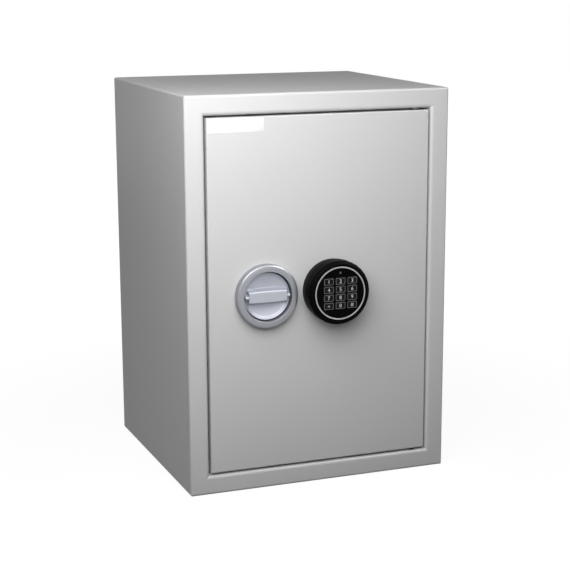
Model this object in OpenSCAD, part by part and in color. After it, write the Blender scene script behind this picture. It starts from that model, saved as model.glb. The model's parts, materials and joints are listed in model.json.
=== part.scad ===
// Wall safe with a flush door, a turning handle and a round keypad.
// Millimetres. The origin is the centre of the underside, x runs to the right,
// y runs to the back and z runs up. The modules measure y from the front face.

/* [Cabinet] */
// Width of the cabinet
case_w = 350; // [320:1:450]
// Depth of the cabinet
case_d = 320; // [260:1:450]
// Height of the cabinet
case_h = 500; // [460:1:700]
// Thickness of the outer sheet
sheet_t = 2.5; // [1.5:0.1:3]
// Width of the front frame, which is also the thickness of the walls
frame_w = 25; // [24:0.5:32]
// Depth of the frame's return beside the door
return_d = 21.5; // [20:0.5:24]
// Radius of the frame's outer front edges
front_r = 3; // [3:0.5:9]
// Radius of the frame's inner front edges
return_r = 5; // [1:0.5:6]
// Radius of the casing's long edges
fold_r = 3; // [1:0.5:4]
// Thickness of the inner casing's sheet
liner_t = 1.5; // [1:0.1:2]
// Diameter of the anchor holes
anchor_d = 14; // [10:0.5:16]
// Spacing of the two anchor holes in the base and of the two in the back
anchor_pitch = 200; // [120:1:220]
// Height of the anchor holes in the back
back_anchor_z = 400; // [330:1:430]

/* [Shelf] */
// Row of holes that holds the shelf, counted from the lowest
shelf_row = 4; // [2:1:5]
// Distance between two rows of shelf holes
row_pitch = 40; // [32:1:50]
// Thickness of the shelf's sheet
shelf_t = 1.5; // [1:0.1:2]
// Height of the shelf's folded edges
shelf_lip = 15; // [8:1:20]

/* [Door] */
// Gap round the door
door_gap = 2.5; // [2:0.1:4]
// Thickness of the door's front plate
door_plate_t = 3; // [2:0.1:3.2]
// Thickness of the door's folded sides
door_side_t = 2; // [1.5:0.1:3]
// Radius of the door's front edges
door_r = 1.5; // [1:0.1:2]
// Thickness of the cover on the back of the door
cover_t = 2; // [1:0.1:3]
// Room behind the bolt carriage
carriage_room = 6; // [5.5:0.5:12]

/* [Hinges] */
// Distance of the pivot from the door's hinge edge
pivot_inset = 16; // [15:0.5:22]
// Distance of the pivot behind the door's face
pivot_back = 9; // [8.8:0.1:9.4]
// Diameter of the hinge pins
pin_d = 8; // [6:0.5:8]
// Length of each hinge pin inside the door
pin_in_door = 16; // [10:1:17]

/* [Boltwork] */
// Diameter of the locking bolts
bolt_d = 18; // [14:0.5:20]
// Throw of the locking bolts
bolt_throw = 18; // [14:0.5:18]
// Vertical distance between two locking bolts
bolt_pitch = 140; // [130:1:160]
// Thickness of the bolt carriage
carriage_t = 4; // [3:0.5:5]
// Vertical distance of the carriage's guides from the handle
guide_rise = 100; // [90:1:108]
// Diameter of the drive cam
cam_d = 40; // [39:0.5:44]

/* [Handle] */
// Distance of the handle's axis from the door's left edge
handle_in = 73.5; // [68:0.5:90]
// Height of the handle's axis above the floor
handle_z = 251; // [235:0.5:270]
// Outer diameter of the handle's rosette
rosette_d = 79.4; // [78.6:0.2:90]
// Height of the rosette above the door
rosette_h = 12.5; // [10:0.1:15]
// Diameter of the turning knob
knob_d = 61.8; // [56:0.2:62]
// Depth of the knob's dish
dish_depth = 6; // [5:0.5:9.5]
// Width of the grip bar at its front
grip_w = 16; // [10:0.2:18]
// Diameter of the spindle
spindle_d = 12; // [11:0.5:13]

/* [Keypad] */
// Distance of the keypad's axis to the right of the handle's axis
keypad_off = 88.5; // [84:0.5:110]
// Height of the keypad's axis above the handle's axis
keypad_rise = 1.5; // [0:0.5:10]
// Outer diameter of the keypad
keypad_d = 81; // [80:0.5:90]
// Outer diameter of the bright ring on the keypad's face
ring_d = 67.4; // [66:0.1:68]
// Width of a key
key_w = 13.6; // [11:0.1:13.8]
// Height of a key
key_h = 9.2; // [7:0.1:9.4]
// Thickness of the battery block
battery_t = 17.5; // [15:0.5:20]

/* [Lock] */
// Width of the lock case
lock_w = 61; // [58:1:66]
// Height of the lock case
lock_h = 85; // [82:1:95]
// Width and depth of the lock's own bolt
lock_bolt_w = 10; // [8:0.5:11]
// Travel of the lock's own bolt
lock_travel = 9; // [6:0.5:12]
// Thickness of the hard plate in front of the lock
hard_t = 3; // [2:0.5:4]

/* [Hidden] */
$fn = 96;

// Colours
casing_grey = "#c4c6c7";
door_grey = "#cfd1d2";
liner_grey = "#b9bcbd";
zinc_steel = "#a9adb0";
bright_steel = "#c8cbce";
satin_silver = "#b7bbc0";
pad_black = "#1b1b1d";
brass = "#b5925a";

// Clearances
fit = 0.05;
slide_fit = 0.15;
running_gap = 0.3;
end_gap = 0.2;
over = 1;

// Door opening and door
open_w = case_w - 2*frame_w;
open_h = case_h - 2*frame_w;
door_w = open_w - 2*door_gap;
door_h = open_h - 2*door_gap;
door_left = -door_w/2;
mid_z = case_h/2;
frame_lap = 12;
edge_per_sheet = 2;
return_edge = min(return_r, edge_per_sheet*sheet_t);

// Axes of the hinge, the handle and the keypad
pivot_x = door_w/2 - pivot_inset;
handle_x = door_left + handle_in;
keypad_x = handle_x + keypad_off;
keypad_z = handle_z + keypad_rise;

// Depths of the boltwork behind the front face
bolt_play = 0.5;
bolt_y = return_d + bolt_play + bolt_d/2;
carriage_back = bolt_y + bolt_d/2;
carriage_front = carriage_back - carriage_t;
cam_t = 6;
cam_gap = 3;
cam_back = carriage_front - cam_gap;
cam_front = cam_back - cam_t;
cover_front = carriage_back + carriage_room;
door_t = cover_front + cover_t;

// Inner casing and insulation
swing_room = 8;
liner_front = door_t + swing_room;
liner_back = case_d - frame_w;
liner_clear = 0.3;
liner_joint = 0.1;
board_gap = 5;
board_joint = 0.2;
board_t = frame_w - sheet_t - liner_t - board_gap;
sleeve_wall = 2;
sleeve_d = anchor_d + 2*sleeve_wall;

// Shelf, its rows of holes and its clips
row_start = 40;
row_count = floor((open_h - 2*row_start)/row_pitch) + 1;
clip_d = 5.6;
clip_hole_d = 6;
clip_reach = 4;
clip_tongue = 10;
clip_wide = 12;
clip_t = 3;
clip_inset = 50;
clip_play = 0.1;
shelf_z = frame_w + row_start + shelf_row*row_pitch + clip_d/2 + clip_play;
shelf_side_gap = 1;
shelf_end_gap = 10;
shelf_front = liner_front + shelf_end_gap;
shelf_back = liner_back - liner_t - shelf_end_gap;
clip_places = [liner_front + clip_inset, liner_back - clip_inset];

// Hinge blocks, pins and bushes
hinge_block_w = 30;
hinge_block_d = 16;
hinge_block_r = front_r - sheet_t + running_gap;
door_block_w = 28;
door_block_h = 18;
pin_bush_wall = 1.5;
pin_collar_w = 1.5;
bush_d = pin_d + 2*pin_bush_wall;
bush_collar_d = bush_d + 2*pin_collar_w;

// Rear cover's posts and screws
cover_r = 4;
post_d = 10;
post_inset_x = 22;
post_inset_z = 32;
cover_screw_d = 4;
cover_head_d = 9;
cover_head_h = 2.5;
cover_screw_l = 12;
post_grid = [[-1, -1], [0, -1], [1, -1], [1, 0], [1, 1], [0, 1], [-1, 1]];

// Locking bolts, dogs and guides
bolt_rows = [-1, 0, 1];
bolt_sink = 0.5;
bolt_tip = door_left + bolt_sink;
bolt_chamfer = 1;
guide_wall = 1.8;
guide_collar_w = 2;
guide_d = bolt_d + 2*guide_wall;
guide_collar_d = guide_d + 2*guide_collar_w;
guide_l = 14;
guide_collar_t = 2;
dog_d = 12;
dog_l = 10;
dog_shank_d = 8;
dog_head_d = 16;
dog_head_t = 5;

// Carriage, seen from the front with the bolts withdrawn
cam_room = 6;
carriage_x = handle_x - cam_d/2 - cam_room - carriage_t;
carriage_r = 3;
spine_w = 18;
spine_end = 6;
spine_foot = handle_z - bolt_pitch - bolt_d/2 - spine_end;
spine_top = handle_z + bolt_pitch + bolt_d/2 + spine_end;
bolt_screw_d = 6;
bolt_head_d = 10;
bolt_head_h = 4;
bolt_screw_l = 20;

// Crank of the drive cam, which turns from 45 to 135 degrees
crank_r = bolt_throw/sqrt(2);
crank_d = 8;
crank_foot_d = 6;
crank_x = handle_x + bolt_throw/2;
crank_z = handle_z + bolt_throw/2;
crank_play = 0.7;
crank_slot_w = crank_d + 2*crank_play;
crank_slot_r = 2;
tab_edge = 6;

// Guide posts of the carriage
guide_post_d = 14;
guide_neck_d = 8;
guide_slot_w = guide_neck_d + 2*running_gap;
guide_inset = 14;
guide_x = carriage_x + carriage_t + guide_inset;
guide_tab_h = 24;
guide_head_t = 2.4;
guide_screw_d = 4;
guide_screw_l = 14;

// Lock case, its bolt and the lug that it blocks
lock_front = door_plate_t + hard_t;
lock_cover_t = 2;
lock_back = carriage_back - lock_cover_t;
lock_top = keypad_z + lock_h/2;
lock_bolt_l = 38;
lock_bolt_y = (lock_front + lock_back)/2;
lug_gap = 1;
lug_w = 6;
lug_lap = 2;
lug_x = keypad_x + lock_bolt_w/2 + lug_gap;
arm_gap = 2;
arm_foot = lock_top + lock_travel + arm_gap;
arm_h = 16;
lock_screw_d = 6;
lock_screw_hole = 6.4;
lock_screw_inset = 6;
lock_head_d = 9;
lock_head_h = 3;
hard_margin = 10;
hard_r = 4;
lock_r = 3;
lock_bolt_play = 0.2;
lock_cover_relief = 1;

// Cable from the keypad to the lock
cable_d = 3.6;
cable_drop = 12;
cable_hole_d = 10;
cable_bend = 7;
cable_stand = 2.6;
cable_y = carriage_back + cable_stand;
cable_z = keypad_z - cable_drop;
cable_tail = 6;
socket_top = cable_z - cable_bend - cable_tail;
socket_w = 12;
socket_h = 14;
socket_gap = 1.2;
socket_t = carriage_room - socket_gap;

// Handle
rosette_r = rosette_d/2;
knob_gap = 0.6;
cup_r = knob_d/2 + knob_gap;
cup_wall = 2.6;
cup_back = 14;
cup_floor_t = 2.5;
shoulder_r = 3.5;
lip_drop = 2.8;
rim_sink = 3.6;
knob_rim = rosette_h - lip_drop - rim_sink;
knob_back = 9;
knob_edge_r = 1;
dish_rim = 1.2;
dish_wall_w = 2.6;
dish_wall_d = 2.6;
grip_rise = 5;
grip_front = knob_rim + grip_rise;
grip_draft = 2.6;
grip_chamfer = 1.4;
boss_d = 5;
boss_rise = 4.2;
boss_top = knob_rim + boss_rise;
boss_lap = 0.4;
grip_short = 4;
socket_depth = 9;
bush_wall = 2;
bush_flange = 3;
bush_flange_t = 2;
bush_tail = 4;
bush_back = cup_back + bush_tail;
clip_groove = 0.6;
clip_ring_t = 1.2;
clip_ring_w = 3.2;
drive_sq = 9;
cam_screw_d = 4;
cam_head_d = 14;
cam_head_h = 2;
cam_screw_l = 12;
handle_screw_d = 3;
handle_screw_h = 3.2;
handle_head_d = 5.4;
handle_head_h = 2;
handle_screw_shift = 0.4;
handle_screw_r = (cup_r + cup_wall + rosette_r)/2 + handle_screw_shift;
handle_screw_turns = [90, 210, 330];

// Keypad, with heights measured outwards from the door's face
pad_r = keypad_d/2;
pad_taper = 1.7;
pad_foot_r = pad_r - pad_taper;
pad_flank = 10;
pad_edge_r = 5;
pad_wall = 2.6;
pad_base_t = 2.4;
pad_board_t = 1.6;
pad_lip_t = 3;
face_t = 2.5;
key_flange_t = 1.8;
key_travel = 0.8;
key_room = key_flange_t + key_travel + running_gap;
battery_play = 0.1;
board_back_h = pad_base_t + battery_t + battery_play;
board_front_h = board_back_h + pad_board_t;
face_back_h = board_front_h + key_room;
lip_h = face_back_h + face_t;
pad_h = lip_h + pad_lip_t;
face_drop = 0.4;
face_h = pad_h - face_drop;
ring_margin = 1.9;
face_rim_gap = 0.25;
face_rim_r = ring_d/2 + ring_margin;
face_flange_r = pad_r - pad_wall - running_gap;
face_skirt = 2;
ring_w = 1.7;
ring_inlay = 0.6;
ring_proud = 0.3;
key_pitch_x = 15.7;
key_pitch_z = 10.3;
key_gap = 0.2;
key_space = 0.4;
key_proud = 0.7;
key_r = 1;
key_columns = [-1 : 1];
key_rows = [-1.5 : 1.5];
lamp_d = 3;
lamp_proud = 0.1;
lamp_rise = 26;
battery_w = 48.5;
battery_h = 26.5;
battery_foot = -1;
base_screw_d = 4;
base_screw_head_d = 7.4;
base_screw_head_h = 1.6;
base_screw_x = 22;
base_screw_z = -18;
base_screw_short = 0.5;
base_screw_l = hard_t - base_screw_short;

// Shared shapes

// Moves y = 0 to the front face of the cabinet
module from_front() translate([0, -case_d/2, 0]) children();

// Flat outline in x and z, made solid from y0 to y1
module plate_y(y0, y1)
  translate([0, y1, 0]) rotate([90, 0, 0]) linear_extrude(y1 - y0) children();

// Flat outline in y and z, made solid along x about the middle
module extrude_x(l) translate([-l/2, 0, 0]) rotate([90, 0, 90]) linear_extrude(l) children();

// Round bar along y
module rod_y(d, y0, y1) translate([0, y1, 0]) rotate([90, 0, 0]) cylinder(d = d, h = y1 - y0);

// Round bar along x
module rod_x(d, x0, x1) translate([x0, 0, 0]) rotate([0, 90, 0]) cylinder(d = d, h = x1 - x0);

// Solid of revolution about y, with heights that grow towards the front
module turn_y() rotate([90, 0, 0]) rotate_extrude() children();

// Box between two corners
module box(low, high) translate(low) cube(high - low);

// Rectangle with round corners
module soft_rect(w, h, r) {
  square([w - 2*r, h], center = true);
  square([w, h - 2*r], center = true);
  for (x = [-1, 1], z = [-1, 1]) translate([x*(w/2 - r), z*(h/2 - r)]) circle(r);
}

// Rectangle with round corners between two corners
module soft_box(low, high, r) {
  size = high - low;
  translate((low + high)/2) soft_rect(size[0], size[1], r);
}

// Rectangle of width w and depth d whose two front corners are round
module front_soft(w, d, r) {
  translate([-w/2, r]) square([w, d - r]);
  translate([-w/2 + r, 0]) square([w - 2*r, d]);
  for (x = [-1, 1]) translate([x*(w/2 - r), r]) circle(r);
}

// Rectangle from the origin whose upper left corner is round
module round_corner(w, h, r) {
  square([w, h - r]);
  translate([r, 0]) square([w - r, h]);
  translate([r, h - r]) circle(r);
}

// Block about z = 0 whose four front edges are round
module soft_front_block(w, h, d, r)
  intersection() {
    translate([0, 0, -h/2]) linear_extrude(h) front_soft(w, d, r);
    extrude_x(w) mirror([1, -1]) front_soft(h, d, r);
  }

// Section of an opening that widens to the front in a round edge
module flare(w, d, r) {
  translate([-w/2, -over]) square([w, d + over]);
  difference() {
    translate([-w/2 - r, -over]) square([w + 2*r, r + over]);
    for (x = [-1, 1]) translate([x*(w/2 + r), r]) circle(r);
  }
}

// Opening whose four front edges are round
module flared_opening(w, h, d, r)
  intersection() {
    translate([0, 0, -h/2 - r]) linear_extrude(h + 2*r) flare(w, d, r);
    extrude_x(w + 2*r) mirror([1, -1]) flare(h, d, r);
  }

// Places

// Both hinge pivots, with z = 0 at the edge of the door opening and z growing into the wall
module at_pivots() {
  translate([pivot_x, pivot_back, case_h - frame_w]) children();
  translate([pivot_x, pivot_back, frame_w]) mirror([0, 0, 1]) children();
}

module at_handle() translate([handle_x, 0, handle_z]) children();

module at_keypad() translate([keypad_x, 0, keypad_z]) children();

module at_bolts() for (i = bolt_rows) translate([0, bolt_y, handle_z + i*bolt_pitch]) children();

module at_base_anchors()
  for (s = [-1, 1]) translate([s*anchor_pitch/2, case_d/2, 0]) children();

module at_back_anchors()
  for (s = [-1, 1]) translate([s*anchor_pitch/2, 0, back_anchor_z]) children();

module at_cover_posts()
  for (p = post_grid)
    translate([p[0]*(door_w/2 - post_inset_x), 0, mid_z + p[1]*(door_h/2 - post_inset_z)])
      children();

module at_lock_screws()
  at_keypad() for (x = [-1, 1], z = [-1, 1])
    translate([x*(lock_w/2 - lock_screw_inset), 0, z*(lock_h/2 - lock_screw_inset)]) children();

module at_base_screws()
  at_keypad() for (s = [-1, 1]) translate([s*base_screw_x, 0, base_screw_z]) children();

module at_handle_screws()
  at_handle() for (a = handle_screw_turns)
    translate([handle_screw_r*cos(a), 0, handle_screw_r*sin(a)]) children();

module at_guides()
  for (s = [-1, 1]) translate([guide_x, 0, handle_z + s*guide_rise]) children();

module at_cable() translate([keypad_x, 0, cable_z]) children();

// Cabinet

// Folded wrap of the sides, the top and the bottom
module outer_casing()
  color(casing_grey) from_front() difference() {
    translate([0, 0, mid_z]) plate_y(frame_lap, case_d) difference() {
      soft_rect(case_w, case_h, fold_r);
      square([case_w - 2*sheet_t, case_h - 2*sheet_t], center = true);
    }
    at_base_anchors() translate([0, 0, -over]) cylinder(d = sleeve_d + 2*fit, h = sheet_t + 2*over);
  }

// Front frame with round edges and a return beside the door
module front_frame()
  color(casing_grey) from_front() difference() {
    translate([0, 0, mid_z]) difference() {
      union() {
        difference() {
          intersection() {
            soft_front_block(case_w, case_h, frame_lap, front_r);
            plate_y(0, frame_lap) soft_rect(case_w, case_h, fold_r);
          }
          translate([0, sheet_t, 0])
            soft_front_block(case_w - 2*sheet_t, case_h - 2*sheet_t, frame_lap, front_r - sheet_t);
        }
        plate_y(sheet_t/2, return_d)
          square([open_w + 2*sheet_t, open_h + 2*sheet_t], center = true);
      }
      flared_opening(open_w, open_h, return_d + over, return_edge);
    }
    at_pivots() translate([0, 0, -over]) cylinder(d = pin_d + 2*fit, h = sheet_t + 2*over);
  }

// Flat back of the cabinet
module back_panel()
  color(casing_grey) from_front() difference() {
    translate([0, 0, mid_z]) plate_y(case_d - sheet_t, case_d)
      square([case_w - 2*sheet_t, case_h - 2*sheet_t], center = true);
    at_back_anchors() rod_y(sleeve_d + 2*fit, case_d - sheet_t - over, case_d + over);
  }

// Five sheets of the inner casing and the flange that closes the wall behind the bolts
module liner_sheets() {
  x_out = open_w/2 + liner_t;
  z_out = open_h/2 + liner_t;
  y_front = liner_front + liner_t + liner_joint;
  y_back = liner_back - liner_t - liner_joint;
  plate_y(liner_front, liner_front + liner_t) difference() {
    square([case_w - 2*sheet_t - 2*liner_clear, case_h - 2*sheet_t - 2*liner_clear], center = true);
    square([open_w, open_h], center = true);
  }
  for (s = [0, 1]) mirror([s, 0, 0])
    box([open_w/2, y_front, liner_joint - open_h/2], [x_out, y_back, open_h/2 - liner_joint]);
  for (s = [0, 1]) mirror([0, 0, s]) box([-x_out, y_front, open_h/2], [x_out, y_back, z_out]);
  box([-x_out, liner_back - liner_t, -z_out], [x_out, liner_back, z_out]);
}

// Inner casing of spot-welded sheets with rows of shelf holes
module inner_casing()
  color(liner_grey) from_front() difference() {
    translate([0, 0, mid_z]) liner_sheets();
    for (i = [0 : row_count - 1], y = clip_places)
      translate([0, y, frame_w + row_start + i*row_pitch])
        rod_x(clip_hole_d, -case_w/2, case_w/2);
    at_base_anchors() translate([0, 0, frame_w - liner_t - over])
      cylinder(d = sleeve_d + 2*fit, h = liner_t + 2*over);
    at_back_anchors() rod_y(sleeve_d + 2*fit, liner_back - liner_t - over, liner_back + over);
  }

// Fire boards in the hollow walls
module insulation_boards() {
  x_in = case_w/2 - sheet_t - board_t;
  x_out = case_w/2 - sheet_t;
  x_lay = x_in - board_joint;
  y_front = liner_front + liner_t;
  y_back = case_d - sheet_t;
  z_low = sheet_t;
  z_high = case_h - sheet_t;
  color("#d8d2c4") from_front() difference() {
    union() {
      for (s = [0, 1]) mirror([s, 0, 0]) box([x_in, y_front, z_low], [x_out, y_back, z_high]);
      box([-x_lay, y_front, z_low], [x_lay, y_back, z_low + board_t]);
      box([-x_lay, y_front, z_high - board_t], [x_lay, y_back, z_high]);
      box([-x_lay, y_back - board_t, z_low + board_t + board_joint],
          [x_lay, y_back, z_high - board_t - board_joint]);
    }
    at_base_anchors() cylinder(d = sleeve_d + 2*running_gap, h = frame_w);
    at_back_anchors() rod_y(sleeve_d + 2*running_gap, liner_back, case_d);
  }
}

// Tubes that carry the floor anchors through the base
module base_anchor_sleeves()
  color(zinc_steel) from_front() at_base_anchors() difference() {
    cylinder(d = sleeve_d, h = frame_w);
    translate([0, 0, -over]) cylinder(d = anchor_d, h = frame_w + 2*over);
  }

// Tubes that carry the wall anchors through the back
module back_anchor_sleeves()
  color(zinc_steel) from_front() at_back_anchors() difference() {
    rod_y(sleeve_d, liner_back - liner_t, case_d);
    rod_y(anchor_d, liner_back - liner_t - over, case_d + over);
  }

// Steel blocks in the frame that hold the hinge pins
module frame_hinge_blocks()
  color(zinc_steel) from_front() at_pivots() difference() {
    translate([0, sheet_t - pivot_back, sheet_t]) extrude_x(hinge_block_w)
      round_corner(hinge_block_d, frame_w - 2*sheet_t, hinge_block_r);
    cylinder(d = pin_d + 2*fit, h = frame_w);
  }

// Upper and lower hinge pin
module hinge_pins()
  color(bright_steel) from_front() at_pivots()
    translate([0, 0, -door_gap - pin_in_door])
      cylinder(d = pin_d, h = door_gap + pin_in_door + frame_w - 2*sheet_t);

// Loose shelf with folded edges
module shelf() {
  half = open_w/2 - shelf_side_gap;
  foot = shelf_z - shelf_lip;
  color(liner_grey) from_front() {
    box([-half, shelf_front, shelf_z], [half, shelf_back, shelf_z + shelf_t]);
    box([-half, shelf_front, foot], [half, shelf_front + shelf_t, shelf_z]);
    box([-half, shelf_back - shelf_t, foot], [half, shelf_back, shelf_z]);
  }
}

// Four clips that carry the shelf
module shelf_clips()
  color(zinc_steel) from_front() for (s = [0, 1], y = clip_places)
    mirror([s, 0, 0]) translate([open_w/2, y, shelf_z]) {
      translate([0, 0, -clip_d/2 - clip_play]) rod_x(clip_d, -clip_tongue/2, liner_t + clip_reach);
      box([-clip_tongue, -clip_wide/2, -clip_t], [-running_gap, clip_wide/2, 0]);
    }

// Door

// Front plate of the door with its folded sides
module door_panel()
  color(door_grey) from_front() difference() {
    translate([0, 0, mid_z]) difference() {
      soft_front_block(door_w, door_h, door_t, door_r);
      plate_y(door_plate_t, door_t + over)
        square([door_w - 2*door_side_t, door_h - 2*door_side_t], center = true);
    }
    at_handle() rod_y(2*(cup_r + cup_wall + running_gap), -over, door_plate_t + over);
    at_handle_screws() rod_y(handle_screw_d + 2*running_gap, -over, door_plate_t + over);
    at_cable() rod_y(cable_hole_d, -over, door_plate_t + over);
    at_base_screws() rod_y(base_screw_d + 2*fit, -over, door_plate_t + over);
    at_bolts() rod_x(guide_d + 2*fit, door_left - over, door_left + door_side_t + over);
    at_bolts() rod_x(dog_shank_d + 2*fit, -door_left - door_side_t - over, -door_left + over);
    at_pivots() translate([0, 0, -door_gap - door_side_t - over])
      cylinder(d = bush_d + 2*fit, h = door_side_t + 2*over);
  }

// Cover on the back of the door
module door_rear_cover()
  color(door_grey) from_front() difference() {
    translate([0, 0, mid_z]) plate_y(cover_front, door_t)
      soft_rect(door_w - 2*door_side_t - 2*running_gap, door_h - 2*door_side_t - 2*running_gap, cover_r);
    at_cover_posts() rod_y(cover_screw_d + 2*running_gap, cover_front - over, door_t + over);
  }

// Posts between the front plate and the rear cover
module cover_posts()
  color(zinc_steel) from_front() at_cover_posts() difference() {
    rod_y(post_d, door_plate_t, cover_front);
    rod_y(cover_screw_d + 2*fit, cover_front - cover_screw_l, cover_front + over);
  }

// Screws of the rear cover
module cover_screws()
  color(bright_steel) from_front() at_cover_posts() {
    rod_y(cover_screw_d, door_t - cover_screw_l, door_t + fit);
    rod_y(cover_head_d, door_t, door_t + cover_head_h);
  }

// Steel blocks in the door that hold the hinge bushes
module door_hinge_blocks()
  color(zinc_steel) from_front() at_pivots()
    translate([0, 0, -door_gap - door_side_t - door_block_h]) difference() {
      box([-door_block_w/2, door_plate_t - pivot_back, 0],
          [door_block_w/2, door_plate_t - pivot_back + hinge_block_d, door_block_h]);
      translate([0, 0, -over]) cylinder(d = bush_d + 2*fit, h = door_block_h + 2*over);
    }

// Brass bushes, whose collars carry the door in the gap
module hinge_bushes() {
  sleeve_l = door_side_t + door_block_h;
  color(brass) from_front() at_pivots() translate([0, 0, -door_gap]) difference() {
    union() {
      translate([0, 0, -sleeve_l]) cylinder(d = bush_d, h = sleeve_l);
      cylinder(d = bush_collar_d, h = door_gap - running_gap);
    }
    translate([0, 0, -sleeve_l - over]) cylinder(d = pin_d + 2*fit, h = sleeve_l + door_gap + over);
  }
}

// Fixed dogs that hook behind the frame on the hinge side
module hinge_side_dogs()
  color(bright_steel) from_front() at_bolts() translate([-door_left, 0, 0]) {
    rod_x(dog_d, 0, dog_l);
    rod_x(dog_shank_d, -door_side_t - over, over);
    rod_x(dog_head_d, -door_side_t - dog_head_t, -door_side_t);
  }

// Flanged bushes that guide the locking bolts through the door's side
module bolt_guides()
  color("#e4e2da") from_front() at_bolts() translate([door_left, 0, 0]) difference() {
    union() {
      rod_x(guide_d, 0, guide_l);
      rod_x(guide_collar_d, door_side_t, door_side_t + guide_collar_t);
    }
    rod_x(bolt_d + 2*slide_fit, -over, guide_l + over);
  }

// Posts on which the carriage slides
module carriage_posts()
  color(zinc_steel) from_front() at_guides() difference() {
    union() {
      rod_y(guide_post_d, door_plate_t, carriage_front - running_gap);
      rod_y(guide_neck_d, carriage_front - over, carriage_back + running_gap);
    }
    rod_y(guide_screw_d + 2*fit, carriage_back - guide_screw_l, carriage_back + over);
  }

// Screws that keep the carriage on its posts
module carriage_screws()
  color(bright_steel) from_front() at_guides() {
    rod_y(guide_screw_d, carriage_back - guide_screw_l + over, carriage_back + over);
    rod_y(guide_post_d, carriage_back + running_gap, carriage_back + running_gap + guide_head_t);
  }

// Hard plate between the front plate and the lock
module hard_plate()
  color("#6f7478") from_front() difference() {
    at_keypad() plate_y(door_plate_t, lock_front)
      soft_rect(lock_w + 2*hard_margin, lock_h + 2*hard_margin, hard_r);
    at_cable() rod_y(cable_hole_d, door_plate_t - over, lock_front + over);
    at_base_screws() rod_y(base_screw_d + 2*fit, door_plate_t - over, lock_front + over);
    at_lock_screws() rod_y(lock_screw_d + 2*fit, door_plate_t - over, lock_front + over);
  }

// Case of the lock, with a channel for its bolt and a passage for the cable
module lock_case()
  color("#8d9296") from_front() difference() {
    at_keypad() plate_y(lock_front, lock_back) soft_rect(lock_w, lock_h, lock_r);
    at_cable() rod_y(cable_hole_d, lock_front - over, lock_back + over);
    at_lock_screws() rod_y(lock_screw_hole, lock_front - over, lock_back + over);
    translate([keypad_x, lock_bolt_y, lock_top])
      box([-lock_bolt_w/2 - slide_fit, -lock_bolt_w/2 - slide_fit, -lock_bolt_l - lock_bolt_play],
          [lock_bolt_w/2 + slide_fit, lock_bolt_w/2 + slide_fit, over]);
  }

// Cover plate of the lock
module lock_cover()
  color(zinc_steel) from_front() difference() {
    at_keypad() plate_y(lock_back, lock_back + lock_cover_t) soft_rect(lock_w, lock_h, lock_r);
    at_cable() rod_y(cable_hole_d + 2*lock_cover_relief, lock_back - over, carriage_back + over);
    at_lock_screws() rod_y(lock_screw_hole, lock_back - over, carriage_back + over);
  }

// Screws through the lock into the hard plate
module lock_screws()
  color(bright_steel) from_front() at_lock_screws() {
    rod_y(lock_screw_d, door_plate_t + end_gap, carriage_back + fit);
    rod_y(lock_head_d, carriage_back, carriage_back + lock_head_h);
  }

// Socket on the lock for the cable
module lock_socket()
  color(pad_black) from_front()
    box([keypad_x - socket_w/2, carriage_back, socket_top - socket_h],
        [keypad_x + socket_w/2, carriage_back + socket_t, socket_top]);

// Cable from the keypad's board through the door to the socket
module lock_cable()
  color("#2b2b2e") from_front() at_cable() {
    rod_y(cable_d, -board_back_h, cable_y - cable_bend);
    translate([0, cable_y - cable_bend, -cable_bend]) rotate([90, 0, 90])
      rotate_extrude(angle = 90) translate([cable_bend, 0]) circle(d = cable_d);
    translate([0, cable_y, -cable_bend - cable_tail]) cylinder(d = cable_d, h = cable_tail);
  }

// Handle

// Rosette and recessed cup of the handle, one casting
module handle_housing() {
  crest_r = rosette_r - shoulder_r;
  shoulder_h = rosette_h - shoulder_r;
  color(satin_silver) from_front() difference() {
    at_handle() turn_y() {
      polygon([[cup_r, 0], [rosette_r, 0], [rosette_r, shoulder_h], [crest_r, shoulder_h],
               [crest_r, rosette_h], [cup_r, rosette_h - lip_drop]]);
      translate([crest_r, shoulder_h]) intersection() {
        circle(shoulder_r);
        square(shoulder_r);
      }
      translate([cup_r, -cup_back]) square([cup_wall, cup_back + over]);
      translate([spindle_d/2 + bush_wall + fit, -cup_back])
        square([cup_r - spindle_d/2 - bush_wall + over, cup_floor_t]);
    }
    at_handle_screws() rod_y(handle_screw_d + 2*fit, -handle_screw_h, over);
  }
}

// Screws that hold the rosette from behind the front plate
module handle_screws()
  color(bright_steel) from_front() at_handle_screws() {
    rod_y(handle_screw_d, end_gap - handle_screw_h, door_plate_t + fit);
    rod_y(handle_head_d, door_plate_t, door_plate_t + handle_head_h);
  }

// Flanged bearing of the spindle
module spindle_bush()
  color(brass) from_front() at_handle() difference() {
    union() {
      rod_y(spindle_d + 2*bush_wall, cup_back - cup_floor_t, bush_back);
      rod_y(spindle_d + 2*bush_wall + 2*bush_flange, cup_back, cup_back + bush_flange_t);
    }
    rod_y(spindle_d + 2*fit, 0, bush_back + over);
  }

// Half section of the knob's dish: a steep wall around a hollow floor
module dish_section(dish_r, floor_r) {
  wall_foot = knob_rim - dish_wall_d;
  dish_foot = knob_rim - dish_depth;
  polygon([[0, dish_foot], [grip_w/2, dish_foot], [floor_r, wall_foot], [dish_r, knob_rim],
           [dish_r, knob_rim + over], [0, knob_rim + over]]);
}

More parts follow.
